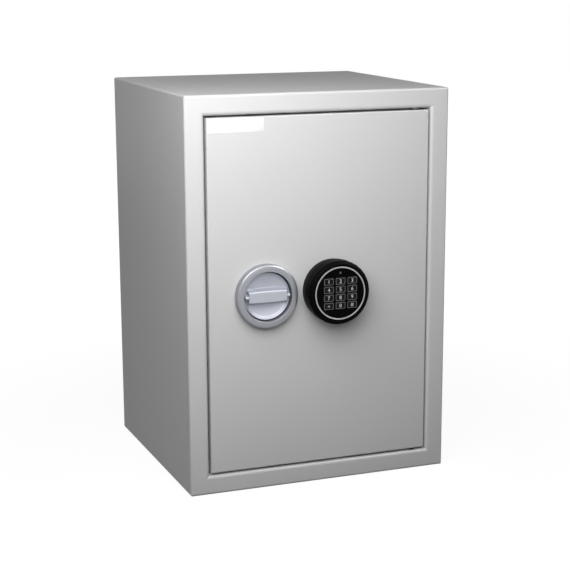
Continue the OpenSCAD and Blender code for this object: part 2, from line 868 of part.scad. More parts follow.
// Turning knob with a dish and a grip bar that ends in two round bosses
module handle_knob() {
  knob_r = knob_d/2;
  dish_r = knob_r - dish_rim;
  floor_r = dish_r - dish_wall_w;
  grip_end = dish_r - grip_short;
  boss_l = grip_short + boss_lap + over;
  boss_foot = boss_top - boss_d/2 + dish_wall_d - knob_rim + over;
  grip_foot = knob_rim - dish_depth - over;
  color(satin_silver) from_front() at_handle() difference() {
    union() {
      turn_y() difference() {
        union() {
          translate([0, -knob_back]) square([knob_r, knob_back + knob_rim - knob_edge_r]);
          translate([0, -knob_back]) square([knob_r - knob_edge_r, knob_back + knob_rim]);
          translate([knob_r - knob_edge_r, knob_rim - knob_edge_r]) circle(knob_edge_r);
        }
        dish_section(dish_r, floor_r);
      }
      for (s = [0, 1]) mirror([s, 0, 0])
        translate([dish_r + boss_lap - boss_l/2, boss_d/2 - boss_top, 0]) extrude_x(boss_l) {
          circle(d = boss_d);
          translate([0, -boss_d/2]) square([boss_foot, boss_d]);
        }
      extrude_x(2*grip_end) mirror([1, 0]) polygon([
        [grip_foot, -grip_w/2 - grip_draft],
        [grip_front - grip_chamfer, -grip_w/2],
        [grip_front, -grip_w/2 + grip_chamfer],
        [grip_front, grip_w/2 - grip_chamfer],
        [grip_front - grip_chamfer, grip_w/2],
        [grip_foot, grip_w/2 + grip_draft],
      ]);
    }
    rod_y(spindle_d + 2*fit, knob_back - socket_depth, knob_back + over);
  }
}

// Spindle from the knob to the drive cam
module spindle()
  color(bright_steel) from_front() at_handle() difference() {
    union() {
      rod_y(spindle_d, knob_back - socket_depth + end_gap, cam_front);
      translate([-drive_sq/2, cam_front - over, -drive_sq/2])
        cube([drive_sq, cam_t + over - end_gap, drive_sq]);
    }
    difference() {
      rod_y(spindle_d + 2*over, bush_back + running_gap, bush_back + running_gap + clip_ring_t + 2*fit);
      rod_y(spindle_d - 2*clip_groove, bush_back, bush_back + clip_ring_t + over);
    }
    rod_y(cam_screw_d + 2*fit, cam_back - cam_screw_l, cam_back + over);
  }

// Open ring that keeps the spindle in its bush
module spindle_clip()
  color(zinc_steel) from_front() at_handle()
    plate_y(bush_back + running_gap + fit, bush_back + running_gap + fit + clip_ring_t)
      difference() {
        circle(d = spindle_d - 2*clip_groove + 2*clip_ring_w);
        circle(d = spindle_d - 2*clip_groove + 2*fit);
        translate([-spindle_d/4, -spindle_d]) square([spindle_d/2, spindle_d]);
      }

// Cam on the spindle's square end
module drive_cam()
  color(zinc_steel) from_front() difference() {
    at_handle() plate_y(cam_front, cam_back) difference() {
      circle(d = cam_d);
      square(drive_sq + 2*fit, center = true);
    }
    translate([crank_x, 0, crank_z]) rod_y(crank_foot_d + 2*fit, cam_front - over, cam_back + over);
  }

// Pin of the cam that drives the carriage
module crank_pin()
  color(bright_steel) from_front() translate([crank_x, 0, crank_z]) {
    rod_y(crank_foot_d, cam_front, cam_back + fit);
    rod_y(crank_d, cam_back, carriage_back + over);
  }

// Screw that keeps the cam on the spindle
module cam_screw()
  color(bright_steel) from_front() at_handle() {
    rod_y(cam_screw_d, cam_back - cam_screw_l + over, cam_back + fit);
    rod_y(cam_head_d, cam_back, cam_back + cam_head_h);
  }

// Boltwork

// Outline of the carriage: spine, drive tab, two guide tabs and the arm over the lock
module carriage_outline() {
  guide_end = guide_x + bolt_throw + guide_slot_w/2 + tab_edge;
  difference() {
    union() {
      soft_box([carriage_x, spine_foot], [carriage_x + spine_w, spine_top], carriage_r);
      soft_box([carriage_x, handle_z - guide_tab_h/2],
               [crank_x + crank_slot_w/2 + tab_edge, handle_z + crank_r + crank_d/2 + tab_edge + over],
               carriage_r);
      for (s = [-1, 1])
        soft_box([carriage_x, handle_z + s*guide_rise - guide_tab_h/2],
                 [guide_end, handle_z + s*guide_rise + guide_tab_h/2], carriage_r);
      soft_box([carriage_x, arm_foot], [lug_x + lug_w, arm_foot + arm_h], carriage_r);
    }
    soft_box([crank_x - crank_slot_w/2, crank_z - crank_d/2 - crank_play],
             [crank_x + crank_slot_w/2, handle_z + crank_r + crank_d/2 + crank_play], crank_slot_r);
    for (s = [-1, 1])
      translate([0, handle_z + s*guide_rise]) {
        translate([guide_x, -guide_slot_w/2]) square([bolt_throw, guide_slot_w]);
        for (x = [0, bolt_throw]) translate([guide_x + x, 0]) circle(d = guide_slot_w);
      }
  }
}

// Carriage that moves the three locking bolts together
module bolt_carriage()
  color(zinc_steel) from_front() difference() {
    union() {
      plate_y(carriage_front, carriage_back) carriage_outline();
      box([carriage_x, bolt_y - bolt_d/2, spine_foot + carriage_r],
          [carriage_x + carriage_t, carriage_back, spine_top - carriage_r]);
      box([lug_x, lock_bolt_y - lock_bolt_w/2 - lug_lap, lock_top + lug_gap],
          [lug_x + lug_w, carriage_back, arm_foot + carriage_r + over]);
    }
    at_bolts() rod_x(bolt_screw_d + 2*fit, carriage_x - over, carriage_x + carriage_t + over);
  }

// Three round locking bolts
module locking_bolts()
  color(bright_steel) from_front() at_bolts() difference() {
    union() {
      rod_x(bolt_d, bolt_tip + bolt_chamfer, carriage_x);
      translate([bolt_tip, 0, 0]) rotate([0, 90, 0])
        cylinder(d1 = bolt_d - 2*bolt_chamfer, d2 = bolt_d, h = bolt_chamfer);
    }
    rod_x(bolt_screw_d + 2*fit, carriage_x - bolt_screw_l, carriage_x + over);
  }

// Screws that fix the bolts to the carriage
module bolt_screws()
  color(zinc_steel) from_front() at_bolts() translate([carriage_x + carriage_t, 0, 0]) {
    rod_x(bolt_screw_d, -bolt_screw_l, fit);
    rod_x(bolt_head_d, 0, bolt_head_h);
  }

// Bolt of the lock, which rises in front of the carriage's lug
module lock_bolt()
  color(brass) from_front() translate([keypad_x, lock_bolt_y, lock_top])
    box([-lock_bolt_w/2, -lock_bolt_w/2, -lock_bolt_l], [lock_bolt_w/2, lock_bolt_w/2, 0]);

// Keypad

// Base plate of the keypad on the door
module keypad_base()
  color(pad_black) from_front() difference() {
    at_keypad() rod_y(2*(pad_foot_r - pad_wall - running_gap), -pad_base_t, 0);
    at_cable() rod_y(cable_hole_d, -pad_base_t - over, over);
    at_base_screws() {
      rod_y(base_screw_d + 2*fit, -pad_base_t - over, over);
      rod_y(base_screw_head_d + 2*fit, -pad_base_t - over, base_screw_head_h - pad_base_t);
    }
  }

// Flat-headed screws of the keypad's base
module keypad_base_screws()
  color(zinc_steel) from_front() at_base_screws() {
    rod_y(base_screw_d, fit - pad_base_t, door_plate_t + base_screw_l);
    rod_y(base_screw_head_d, fit - pad_base_t, base_screw_head_h - pad_base_t);
  }

// Outer shell of the keypad
module keypad_housing()
  color(pad_black) from_front() at_keypad() turn_y() difference() {
    union() {
      polygon([[0, 0], [pad_foot_r, 0], [pad_r, pad_flank], [pad_r, pad_h - pad_edge_r],
               [0, pad_h - pad_edge_r]]);
      square([pad_r - pad_edge_r, pad_h]);
      translate([pad_r - pad_edge_r, pad_h - pad_edge_r]) circle(pad_edge_r);
    }
    polygon([[-over, -over], [pad_foot_r - pad_wall, -over], [pad_foot_r - pad_wall, 0],
             [pad_r - pad_wall, pad_flank], [pad_r - pad_wall, lip_h], [-over, lip_h]]);
    translate([-over, 0]) square([face_rim_r + over, pad_h + over]);
  }

// Where the twelve keys stand
module at_key(column, row) at_keypad() translate([column*key_pitch_x, 0, row*key_pitch_z]) children();

// Face of the keypad, which keeps the keys in and stands on the board
module keypad_faceplate()
  color(pad_black) from_front() difference() {
    at_keypad() turn_y() difference() {
      union() {
        translate([0, face_back_h]) square([face_flange_r, face_t]);
        translate([0, face_back_h]) square([face_rim_r - face_rim_gap, face_h - face_back_h]);
        translate([face_flange_r - face_skirt, board_front_h]) square([face_skirt, key_room + fit]);
      }
      translate([ring_d/2 - ring_w - fit, face_h - ring_inlay]) square([ring_w + 2*fit, over]);
    }
    for (column = key_columns, row = key_rows)
      at_key(column, row) plate_y(-pad_h - over, -face_back_h + over)
        square([key_w + 2*key_gap, key_h + 2*key_gap], center = true);
    at_keypad() translate([0, 0, lamp_rise]) rod_y(lamp_d + 2*fit, -pad_h - over, -board_front_h);
  }

// Bright ring let into the keypad's face
module keypad_ring()
  color(satin_silver) from_front() at_keypad() turn_y()
    translate([ring_d/2 - ring_w, face_h - ring_inlay]) square([ring_w, ring_inlay + ring_proud]);

// Printed board behind the keys
module keypad_board()
  color("#2f6b45") from_front() at_keypad() rod_y(2*face_flange_r, -board_front_h, -board_back_h);

// Small lamp above the keys
module status_lamp()
  color("#8c2a26") from_front() at_keypad() translate([0, 0, lamp_rise])
    rod_y(lamp_d, -face_h - lamp_proud, -board_front_h);

// Nine volt block on the keypad's base
module battery()
  color("#4a4d52") from_front() at_keypad()
    box([-battery_w/2, -pad_base_t - battery_t, battery_foot],
        [battery_w/2, -pad_base_t, battery_foot + battery_h]);

// One key with a flange behind the face
module keypad_key(column, row) {
  flange_back = face_back_h - fit - key_flange_t;
  color("#26262a") from_front() at_key(column, row) {
    plate_y(-face_h - key_proud, -flange_back - over) soft_rect(key_w, key_h, key_r);
    plate_y(-flange_back - key_flange_t, -flange_back)
      square([key_pitch_x - key_space, key_pitch_z - key_space], center = true);
  }
}

outer_casing();
front_frame();
back_panel();
inner_casing();
insulation_boards();
base_anchor_sleeves();
back_anchor_sleeves();
frame_hinge_blocks();
hinge_pins();
shelf();
shelf_clips();
door_panel();
door_rear_cover();
cover_posts();
cover_screws();
door_hinge_blocks();
hinge_bushes();
hinge_side_dogs();
bolt_guides();
carriage_posts();
carriage_screws();
hard_plate();
lock_case();
lock_cover();
lock_screws();
lock_socket();
lock_cable();
handle_housing();
handle_screws();
spindle_bush();
keypad_base();
keypad_base_screws();
keypad_housing();
keypad_faceplate();
keypad_ring();
keypad_board();
status_lamp();
battery();
keypad_key(-1, 1.5);  // key_1
keypad_key(0, 1.5);  // key_2
keypad_key(1, 1.5);  // key_3
keypad_key(-1, 0.5);  // key_4
keypad_key(0, 0.5);  // key_5
keypad_key(1, 0.5);  // key_6
keypad_key(-1, -0.5);  // key_7
keypad_key(0, -0.5);  // key_8
keypad_key(1, -0.5);  // key_9
keypad_key(-1, -1.5);  // key_star
keypad_key(0, -1.5);  // key_0
keypad_key(1, -1.5);  // key_hash
handle_knob();
spindle();
spindle_clip();
drive_cam();
crank_pin();
cam_screw();
bolt_carriage();
locking_bolts();
bolt_screws();
lock_bolt();
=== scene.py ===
import json
import math

import bmesh
import bpy
import numpy as np
from bpy.props import FloatProperty, FloatVectorProperty, IntProperty, PointerProperty
from mathutils import Euler, Matrix, Vector


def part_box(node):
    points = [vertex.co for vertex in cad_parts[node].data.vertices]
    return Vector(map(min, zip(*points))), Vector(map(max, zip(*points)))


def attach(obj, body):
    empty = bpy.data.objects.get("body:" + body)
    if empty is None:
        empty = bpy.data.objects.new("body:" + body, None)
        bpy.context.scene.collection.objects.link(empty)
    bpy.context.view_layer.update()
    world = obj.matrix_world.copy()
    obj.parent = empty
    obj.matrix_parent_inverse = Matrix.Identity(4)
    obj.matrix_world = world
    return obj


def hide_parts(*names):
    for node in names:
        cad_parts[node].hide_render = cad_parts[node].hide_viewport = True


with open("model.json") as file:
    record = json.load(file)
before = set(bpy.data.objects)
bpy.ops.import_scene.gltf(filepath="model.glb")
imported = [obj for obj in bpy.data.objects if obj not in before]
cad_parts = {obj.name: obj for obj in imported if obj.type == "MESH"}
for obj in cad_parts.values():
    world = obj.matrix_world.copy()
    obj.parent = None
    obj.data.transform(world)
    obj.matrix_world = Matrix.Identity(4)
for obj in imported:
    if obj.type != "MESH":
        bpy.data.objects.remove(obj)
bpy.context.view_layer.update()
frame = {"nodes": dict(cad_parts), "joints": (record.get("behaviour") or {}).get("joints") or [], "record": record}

bl_info = {
    "name": "Steel Safe",
    "version": (1, 0, 0),
    "blender": (4, 5, 0),
    "location": "View3D > Sidebar > Safe",
    "description": "Dresses a steel safe with paint, a dished knob, a keypad and its boltwork",
    "category": "Object",
}

MM = 0.001
JOINTS = {joint["name"]: joint for joint in frame["joints"]}
DOOR_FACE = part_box("door_panel")[0].y
ROUND_STEPS = 160  # sides of a revolved piece
CORNER_STEPS = 6  # sides of a rounded corner
KEYS = {
    "key_1": "1", "key_2": "2", "key_3": "3",
    "key_4": "4", "key_5": "5", "key_6": "6",
    "key_7": "7", "key_8": "8", "key_9": "9",
    "key_star": "*", "key_0": "0", "key_hash": "#",
}


def linear(code):
    """Turns an sRGB hex value into a linear colour."""
    parts = [int(code[i:i + 2], 16) / 255 for i in (1, 3, 5)]
    return tuple(c / 12.92 if c <= 0.04045 else ((c + 0.055) / 1.055) ** 2.4 for c in parts)


def shade(colour, factor=1.0):
    """A socket's colour, lighter or darker by a factor."""
    return (*(min(1.0, c * factor) for c in colour[:3]), 1.0)


def colour_property(name, description, code):
    """A colour that a user may change, given as an sRGB hex value."""
    return FloatVectorProperty(
        name=name, description=description, subtype="COLOR", size=3, min=0.0, max=1.0,
        default=linear(code),
    )


def length_property(name, description, millimetres):
    """A length that a user may change, given in mm and kept in metres."""
    return FloatProperty(
        name=name, description=description, default=millimetres * MM, min=0.0,
        subtype="DISTANCE", unit="LENGTH", precision=5,
    )


def power_property(name, description, watts):
    """A lamp's power that a user may change."""
    return FloatProperty(name=name, description=description, default=watts, min=0.0, unit="POWER")


class SafeFinishes(bpy.types.PropertyGroup):
    """Colours of the safe's main finishes"""

    paint: colour_property("Paint", "Powder coat on the cabinet and the door", "#D7D7D7")
    liner: colour_property("Liner", "Powder coat on the inner casing and the shelf", "#B9BCBD")
    silver: colour_property("Handle", "Satin chrome on the knob", "#B2B5BE")
    rosette: colour_property("Rosette", "Duller chrome on the handle's rosette", "#9A9CA2")
    moulding: colour_property("Keypad", "Moulded housing of the keypad", "#040404")
    rubber: colour_property("Keys", "Silicone rubber of the keys", "#060607")
    # The key outline is a painted highlight: a grey line that stands in for the light caught by each key's bevel
    outline: colour_property("Key outline", "Printed line round each key", "#77797C")
    ink: colour_property("Digits", "Printed digits on the keys", "#E9E9E8")
    label: colour_property("Label", "Blank film in the door's corner", "#F4F4F2")


class SafeSizes(bpy.types.PropertyGroup):
    """Sizes of the pieces that are made here, and the seed of their screws"""

    knob_play: length_property("Knob play", "Extra gap drawn round the knob", 0.8)
    dish_depth: length_property("Dish depth", "From the knob's rim to the floor of its dish", 6.0)
    dish_wall_width: length_property("Dish wall width", "Width of the steep wall of the dish", 2.6)
    dish_wall_depth: length_property("Dish wall depth", "Depth of the steep wall of the dish", 2.6)
    dish_rim: length_property("Dish rim", "Width of the rim round the dish", 1.2)
    grip_width: length_property("Grip width", "Width of the bar across the knob", 16.0)
    grip_rise: length_property("Grip rise", "Height of the bar above the knob's rim", 5.0)
    grip_swell: length_property("Grip swell", "Extra width of the bar at its middle", 1.2)
    grip_short: length_property("Grip shortfall", "From the bar's ends to the dish's edge", 4.0)
    boss_width: length_property("Boss width", "Width of the round boss at each end of the bar", 5.0)
    boss_rise: length_property("Boss rise", "Height of the bosses above the knob's rim", 4.2)
    rosette_edge: length_property("Rosette edge", "Radius of the rosette's outer edge", 3.0)
    rosette_grow: length_property("Rosette growth", "Extra radius drawn on the rosette", 0.7)
    rosette_sink: length_property("Rosette sink", "From the solid's crest down to the lip", 1.3)
    key_width: length_property("Key width", "Width of a key at the keypad's face", 13.6)
    key_height: length_property("Key height", "Height of a key at the keypad's face", 9.2)
    key_edge: length_property("Key edge", "Width of the rounded edge of a key", 0.6)
    digit_height: length_property("Digit height", "Height of the printed digits", 4.6)
    # The width of the grey line that paints each key's bevel highlight
    outline_width: length_property("Outline width", "Width of the printed line round a key", 0.5)
    label_width: length_property("Label width", "Width of the blank film", 71.2)
    label_height: length_property("Label height", "Height of the blank film", 16.8)
    label_inset: length_property("Label inset", "From the door's edges to the film", 1.5)
    seed: IntProperty(name="Screw seed", description="Seed of the turn of each screw head",
                      default=7, min=0)


class SafeLights(bpy.types.PropertyGroup):
    """Power of the studio lamps"""

    key: power_property("Key", "Soft lamp before the door, high on the left", 3.95)
    left: power_property("Left fill", "Low lamp beside the cabinet", 0.17)
    back: power_property("Back fill", "Wide lamps behind the cabinet", 2.5)
    edge: power_property("Edge glint", "Far strip seen only in shiny edges", 42.0)
    dish: power_property("Dish glint", "Small lamp seen only in the knob's dish", 0.6)
    sky: FloatProperty(name="Surround", description="Light from the white room",
                       default=0.18, min=0.0)


def finishes():
    """The scene's colours."""
    return bpy.context.scene.safe_finishes


def sizes():
    """The scene's sizes."""
    return bpy.context.scene.safe_sizes


def lights():
    """The scene's lamp powers."""
    return bpy.context.scene.safe_lights


# Node helpers

def add(tree, kind, inputs=None, **settings):
    """Adds a node with its settings, and sets or links its inputs."""
    node = tree.nodes.new(kind)
    for key, value in settings.items():
        setattr(node, key, value)
    for key, value in (inputs or {}).items():
        if isinstance(value, bpy.types.NodeSocket):
            tree.links.new(value, node.inputs[key])
        else:
            node.inputs[key].default_value = value
    return node


def start_material(name):
    """A new material with an empty tree, and the piece's own coordinates in metres."""
    material = bpy.data.materials.new(name)
    material.use_nodes = True
    tree = material.node_tree
    tree.nodes.clear()
    place = add(tree, "ShaderNodeTexCoord").outputs["Object"]
    return material, tree, place


def finish(material, texture, dark, light, sockets, gloss=None, relief=None):
    """Ends a material whose two tones blend by a texture, with its gloss and its relief."""
    tree = material.node_tree
    tone = add(tree, "ShaderNodeMix", {0: texture.outputs["Fac"], 6: shade(dark), 7: shade(light)},
               data_type="RGBA")
    sockets = {"Base Color": tone.outputs[2], **sockets}
    if gloss:
        sockets["Roughness"] = add(tree, "ShaderNodeMapRange", gloss).outputs[0]
    if relief:
        sockets["Normal"] = add(tree, "ShaderNodeBump", relief).outputs[0]
    shader = add(tree, "ShaderNodeBsdfPrincipled", sockets)
    add(tree, "ShaderNodeOutputMaterial", {"Surface": shader.outputs[0]})
    return material


def light_paths(tree):
    """Which rays come from the camera, and which were mirrored or passed through something."""
    rays = add(tree, "ShaderNodeLightPath").outputs
    mirrored = add(tree, "ShaderNodeMath", {0: rays["Is Glossy Ray"],
                                            1: rays["Is Transmission Ray"]}, operation="ADD")
    return rays["Is Camera Ray"], mirrored.outputs[0]


def per(millimetres):
    """Noise scale for features of that size."""
    return 1 / (millimetres * MM)


def bands_per(millimetres):
    """Wave scale for bands of that pitch."""
    return 2 * math.pi / (20 * millimetres * MM)


# Finishes

def powder_coated_steel(name, colour):
    """Electrostatic powder baked on sheet steel."""
    # The eye sees an even satin grey with a faint orange peel of about 2 mm
    # and a very soft drift in tone over a hand's width.
    material, tree, place = start_material(name)
    drift = add(tree, "ShaderNodeTexNoise", {"Vector": place, "Scale": per(90)})
    peel = add(tree, "ShaderNodeTexNoise", {"Vector": place, "Scale": per(2), "Roughness": 0.4})
    return finish(
        material, drift, shade(colour, 0.98), shade(colour, 1.02), {"IOR": 1.5},
        gloss={"Value": peel.outputs["Fac"], "From Min": 0.3, "From Max": 0.7,
               "To Min": 0.36, "To Max": 0.46},
        relief={"Height": peel.outputs["Fac"], "Strength": 0.12, "Distance": 0.15 * MM})


def zinc_plated_steel():
    """Pressed or turned steel with a clear-passivated zinc plating."""
    # The eye sees a grey metal with a faint blue and straw tint in patches
    # of a few millimetres and a dull, uneven shine.
    material, tree, place = start_material("zinc_plated_steel")
    patch = add(tree, "ShaderNodeTexNoise", {"Vector": place, "Scale": per(9), "Detail": 4.0})
    grain = add(tree, "ShaderNodeTexNoise", {"Vector": place, "Scale": per(0.8), "Detail": 3.0})
    return finish(
        material, patch, linear("#A9B1B9"), linear("#BDB9AC"), {"Metallic": 1.0},
        gloss={"Value": patch.outputs["Fac"], "To Min": 0.3, "To Max": 0.5},
        relief={"Height": grain.outputs["Fac"], "Strength": 0.1, "Distance": 0.1 * MM})


def turned_metal(name, light, dark, axis):
    """Bar stock turned on a lathe, with its axis along x, y or z."""
    # The eye sees bright rings square to the axis. The real tool marks are
    # 0.2 mm apart, and are drawn 1 mm apart so that they show.
    material, tree, place = start_material(name)
    marks = add(tree, "ShaderNodeTexWave", {"Vector": place, "Scale": bands_per(1.0),
                                            "Distortion": 0.6, "Detail": 1.0},
                bands_direction=axis)
    stain = add(tree, "ShaderNodeTexNoise", {"Vector": place, "Scale": per(12), "Detail": 3.0})
    return finish(
        material, stain, linear(dark), linear(light), {"Metallic": 1.0},
        gloss={"Value": marks.outputs["Fac"], "To Min": 0.2, "To Max": 0.34},
        relief={"Height": marks.outputs["Fac"], "Strength": 0.08, "Distance": 0.08 * MM})


def hardened_steel():
    """Case-hardened plate, quenched and left dark."""
    # The eye sees a blue-black scale with lighter blotches of a centimetre.
    material, tree, place = start_material("case_hardened_steel")
    scale = add(tree, "ShaderNodeTexNoise", {"Vector": place, "Scale": per(10), "Detail": 6.0})
    return finish(
        material, scale, linear("#3A3D43"), linear("#63666B"), {"Metallic": 0.9},
        gloss={"Value": scale.outputs["Fac"], "To Min": 0.42, "To Max": 0.6})


def moulded_nylon():
    """Injection-moulded natural nylon."""
    # The eye sees a milky off-white with a soft sheen and a fine spark texture.
    material, tree, place = start_material("moulded_natural_nylon")
    spark = add(tree, "ShaderNodeTexNoise", {"Vector": place, "Scale": per(0.7)})
    return finish(
        material, spark, linear("#CFCABB"), linear("#DEDACD"), {"Roughness": 0.45, "IOR": 1.53},
        relief={"Height": spark.outputs["Fac"], "Strength": 0.1, "Distance": 0.1 * MM})


def die_cast_zinc():
    """Zinc alloy cast under pressure and tumbled."""
    # The eye sees a dull grey skin with flow marks of 6 mm and a grain under 1 mm.
    material, tree, place = start_material("die_cast_zinc")
    flow = add(tree, "ShaderNodeTexNoise", {"Vector": place, "Scale": per(6), "Detail": 3.0,
                                            "Distortion": 1.2})
    grain = add(tree, "ShaderNodeTexNoise", {"Vector": place, "Scale": per(0.8)})
    return finish(
        material, flow, linear("#8D9093"), linear("#A7A9AB"), {"Metallic": 1.0},
        gloss={"Value": flow.outputs["Fac"], "To Min": 0.48, "To Max": 0.62},
        relief={"Height": grain.outputs["Fac"], "Strength": 0.15, "Distance": 0.1 * MM})


def satin_chromed_zinc(name, colour, rough):
    """Zinc casting, bead-blasted and chromed."""
    # The eye sees a cool silver with blurred reflections. The blasted grain is
    # 0.1 mm, and is drawn 0.5 mm wide so that it shows.
    material, tree, place = start_material(name)
    grain = add(tree, "ShaderNodeTexNoise", {"Vector": place, "Scale": per(0.5)})
    drift = add(tree, "ShaderNodeTexNoise", {"Vector": place, "Scale": per(14)})
    return finish(
        material, drift, shade(colour, 0.96), shade(colour, 1.04), {"Metallic": 0.55},
        gloss={"Value": drift.outputs["Fac"], "To Min": rough - 0.04, "To Max": rough + 0.04},
        relief={"Height": grain.outputs["Fac"], "Strength": 0.06, "Distance": 0.05 * MM})


def cup_shade_zinc():
    """Zinc inside the handle's cup, drawn dark as painted shade for the shadow in the gap round the knob."""
    # The eye sees a dull charcoal, painted shade, with a sandy grain under 1 mm and no clear highlight.
    material, tree, place = start_material("cup_shade_zinc")
    sand = add(tree, "ShaderNodeTexNoise", {"Vector": place, "Scale": per(0.8)})
    return finish(
        material, sand, linear("#626368"), linear("#76777C"),
        {"Roughness": 0.55, "Specular IOR Level": 0.3},
        relief={"Height": sand.outputs["Fac"], "Strength": 0.15, "Distance": 0.08 * MM})


def anodised_aluminium():
    """Aluminium ring, turned, etched and anodised clear."""
    # The eye sees a matt silver line with tiny lighter and darker flecks.
    material, tree, place = start_material("clear_anodised_aluminium")
    fleck = add(tree, "ShaderNodeTexNoise", {"Vector": place, "Scale": per(1.2), "Detail": 3.0})
    return finish(
        material, fleck, linear("#97999B"), linear("#ABADAF"), {"Metallic": 1.0},
        gloss={"Value": fleck.outputs["Fac"], "To Min": 0.3, "To Max": 0.42})


def moulded_plastic(name, colour, grain_mm, rough, shine):
    """Injection-moulded plastic or rubber, coloured through, with a spark-eroded grain."""
    # The eye sees a near-even colour whose fine grain breaks up the highlights.
    material, tree, place = start_material(name)
    grain = add(tree, "ShaderNodeTexNoise", {"Vector": place, "Scale": per(grain_mm)})
    drift = add(tree, "ShaderNodeTexNoise", {"Vector": place, "Scale": per(18)})
    return finish(
        material, drift, shade(colour, 0.9), shade(colour, 1.1),
        {"IOR": 1.5, "Specular IOR Level": shine},
        gloss={"Value": drift.outputs["Fac"], "To Min": rough - 0.04, "To Max": rough + 0.04},
        relief={"Height": grain.outputs["Fac"], "Strength": 0.15, "Distance": 0.08 * MM})


def printed_ink(name, colour):
    """Pad-printed ink with a matt, slightly broken film."""
    # The eye sees a flat colour that thins out in specks of 0.3 mm.
    material, tree, place = start_material(name)
    speck = add(tree, "ShaderNodeTexNoise", {"Vector": place, "Scale": per(0.3)})
    return finish(
        material, speck, shade(colour, 0.88), shade(colour, 1.05), {"Roughness": 0.6, "IOR": 1.48})


def vinyl_film(colour):
    """White self-adhesive vinyl, calendered and satin."""
    # The eye sees clean white with a long, shallow ripple from the hand that laid it.
    material, tree, place = start_material("white_vinyl_film")
    ripple = add(tree, "ShaderNodeTexNoise", {"Vector": place, "Scale": per(15), "Detail": 1.0})
    return finish(
        material, ripple, shade(colour, 0.985), colour, {"Roughness": 0.4, "IOR": 1.52},
        relief={"Height": ripple.outputs["Fac"], "Strength": 0.1, "Distance": 0.3 * MM})


def gypsum_board():
    """Cast gypsum with glass fibre, sawn to size."""
    # The eye sees chalky cream with small pits of two or three millimetres.
    material, tree, place = start_material("fibre_gypsum_board")
    pits = add(tree, "ShaderNodeTexNoise", {"Vector": place, "Scale": per(2.5), "Detail": 6.0})
    return finish(
        material, pits, linear("#C9C5B9"), linear("#E2DFD6"), {"Roughness": 0.9},
        relief={"Height": pits.outputs["Fac"], "Strength": 0.4, "Distance": 0.3 * MM})


def circuit_board():
    """Glass-epoxy board under a green solder mask."""
    # The eye sees glossy green with darker tracks every 2 mm.
    material, tree, place = start_material("green_glass_epoxy_board")
    tracks = add(tree, "ShaderNodeTexWave", {"Vector": place, "Scale": bands_per(2.0),
                                             "Distortion": 2.0}, bands_direction="DIAGONAL")
    return finish(
        material, tracks, linear("#143F29"), linear("#23633F"), {"Roughness": 0.3, "IOR": 1.55})


def tinted_lens():
    """Small epoxy lamp lens, smoked."""
    # The eye sees a dull grey-brown dot that is a little darker in places.
    material, tree, place = start_material("smoked_epoxy_lens")
    cloud = add(tree, "ShaderNodeTexNoise", {"Vector": place, "Scale": per(1.5), "Detail": 1.0})
    return finish(
        material, cloud, linear("#2A2321"), linear("#473C39"),
        {"Roughness": 0.15, "IOR": 1.56, "Coat Weight": 0.5})


# Mesh helpers

def make_piece(name, mesh, materials, body, slot, *nodes, crease=35):
    """Links a mesh as a piece that rides on a body and stands for CAD nodes.

    Edges that turn by more than crease degrees stay sharp.
    """
    for material in materials:
        mesh.materials.append(material)
    mesh.polygons.foreach_set("use_smooth", [True] * len(mesh.polygons))
    mesh.set_sharp_from_angle(angle=math.radians(crease))
    piece = bpy.data.objects.new(name, mesh)
    bpy.context.scene.collection.objects.link(piece)
    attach(piece, body)
    if nodes:
        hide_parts(*nodes)
    return piece


def mesh_of(net, name):
    """A mesh from a bmesh whose faces are first turned outwards."""
    bmesh.ops.recalc_face_normals(net, faces=net.faces)
    mesh = bpy.data.meshes.new(name)
    net.to_mesh(mesh)
    net.free()
    return mesh


def dress(material, *nodes):
    """Gives CAD nodes a finish through their material slots."""
    for node in nodes:
        piece = frame["nodes"][node]
        if not piece.material_slots:
            piece.data.materials.append(material)
        for slot in piece.material_slots:
            slot.material = material


def arc(centre, radius, start, end, steps):
    """Points on an arc of a section, with angles in degrees."""
    turns = np.radians(np.linspace(start, end, steps + 1))
    return [(centre[0] + radius * math.cos(t), centre[1] + radius * math.sin(t)) for t in turns]


def turned(name, section, axis, steps):
    """Revolves a closed section of (radius, height) points in mm about a level axis."""
    net = bmesh.new()
    rings = []
    for step in range(steps):
        angle = 2 * math.pi * step / steps
        rings.append([net.verts.new((axis[0] + r * MM * math.cos(angle), DOOR_FACE - h * MM,
                                     axis[1] + r * MM * math.sin(angle))) for r, h in section])
    for step in range(steps):
        here, there = rings[step], rings[(step + 1) % steps]
        for i in range(len(section)):
            j = (i + 1) % len(section)
            net.faces.new((here[i], here[j], there[j], there[i]))
    return mesh_of(net, name)


def relief(name, radii, steps, height, back, axis):
    """A round piece whose front follows a height rule, closed by its edge and its back, in mm."""
    turns = 2 * np.pi * np.arange(steps) / steps
    x = np.outer(radii, np.cos(turns))
    z = np.outer(radii, np.sin(turns))
    h = height(x, z)
    net = bmesh.new()

    def point(px, ph, pz):
        return net.verts.new((axis[0] + px * MM, DOOR_FACE - ph * MM, axis[1] + pz * MM))

    middle = point(0, float(height(np.zeros(1), np.zeros(1))[0]), 0)
    rings = [[point(x[i, j], h[i, j], z[i, j]) for j in range(steps)] for i in range(len(radii))]
    rings.append([point(x[-1, j], back, z[-1, j]) for j in range(steps)])
    rear = point(0, back, 0)
    for j in range(steps):
        k = (j + 1) % steps
        net.faces.new((middle, rings[0][j], rings[0][k]))
        net.faces.new((rear, rings[-1][k], rings[-1][j]))
        for inner, outer in zip(rings, rings[1:]):
            net.faces.new((inner[j], outer[j], outer[k], inner[k]))
    return mesh_of(net, name)


def smooth_min(a, b, blend):
    """The lower of two heights, rounded where they meet."""
    share = np.clip(0.5 + 0.5 * (b - a) / blend, 0, 1)
    return b * (1 - share) + a * share - blend * share * (1 - share)


def smooth_max(a, b, blend):
    """The higher of two heights, rounded where they meet."""
    return -smooth_min(-a, -b, blend)


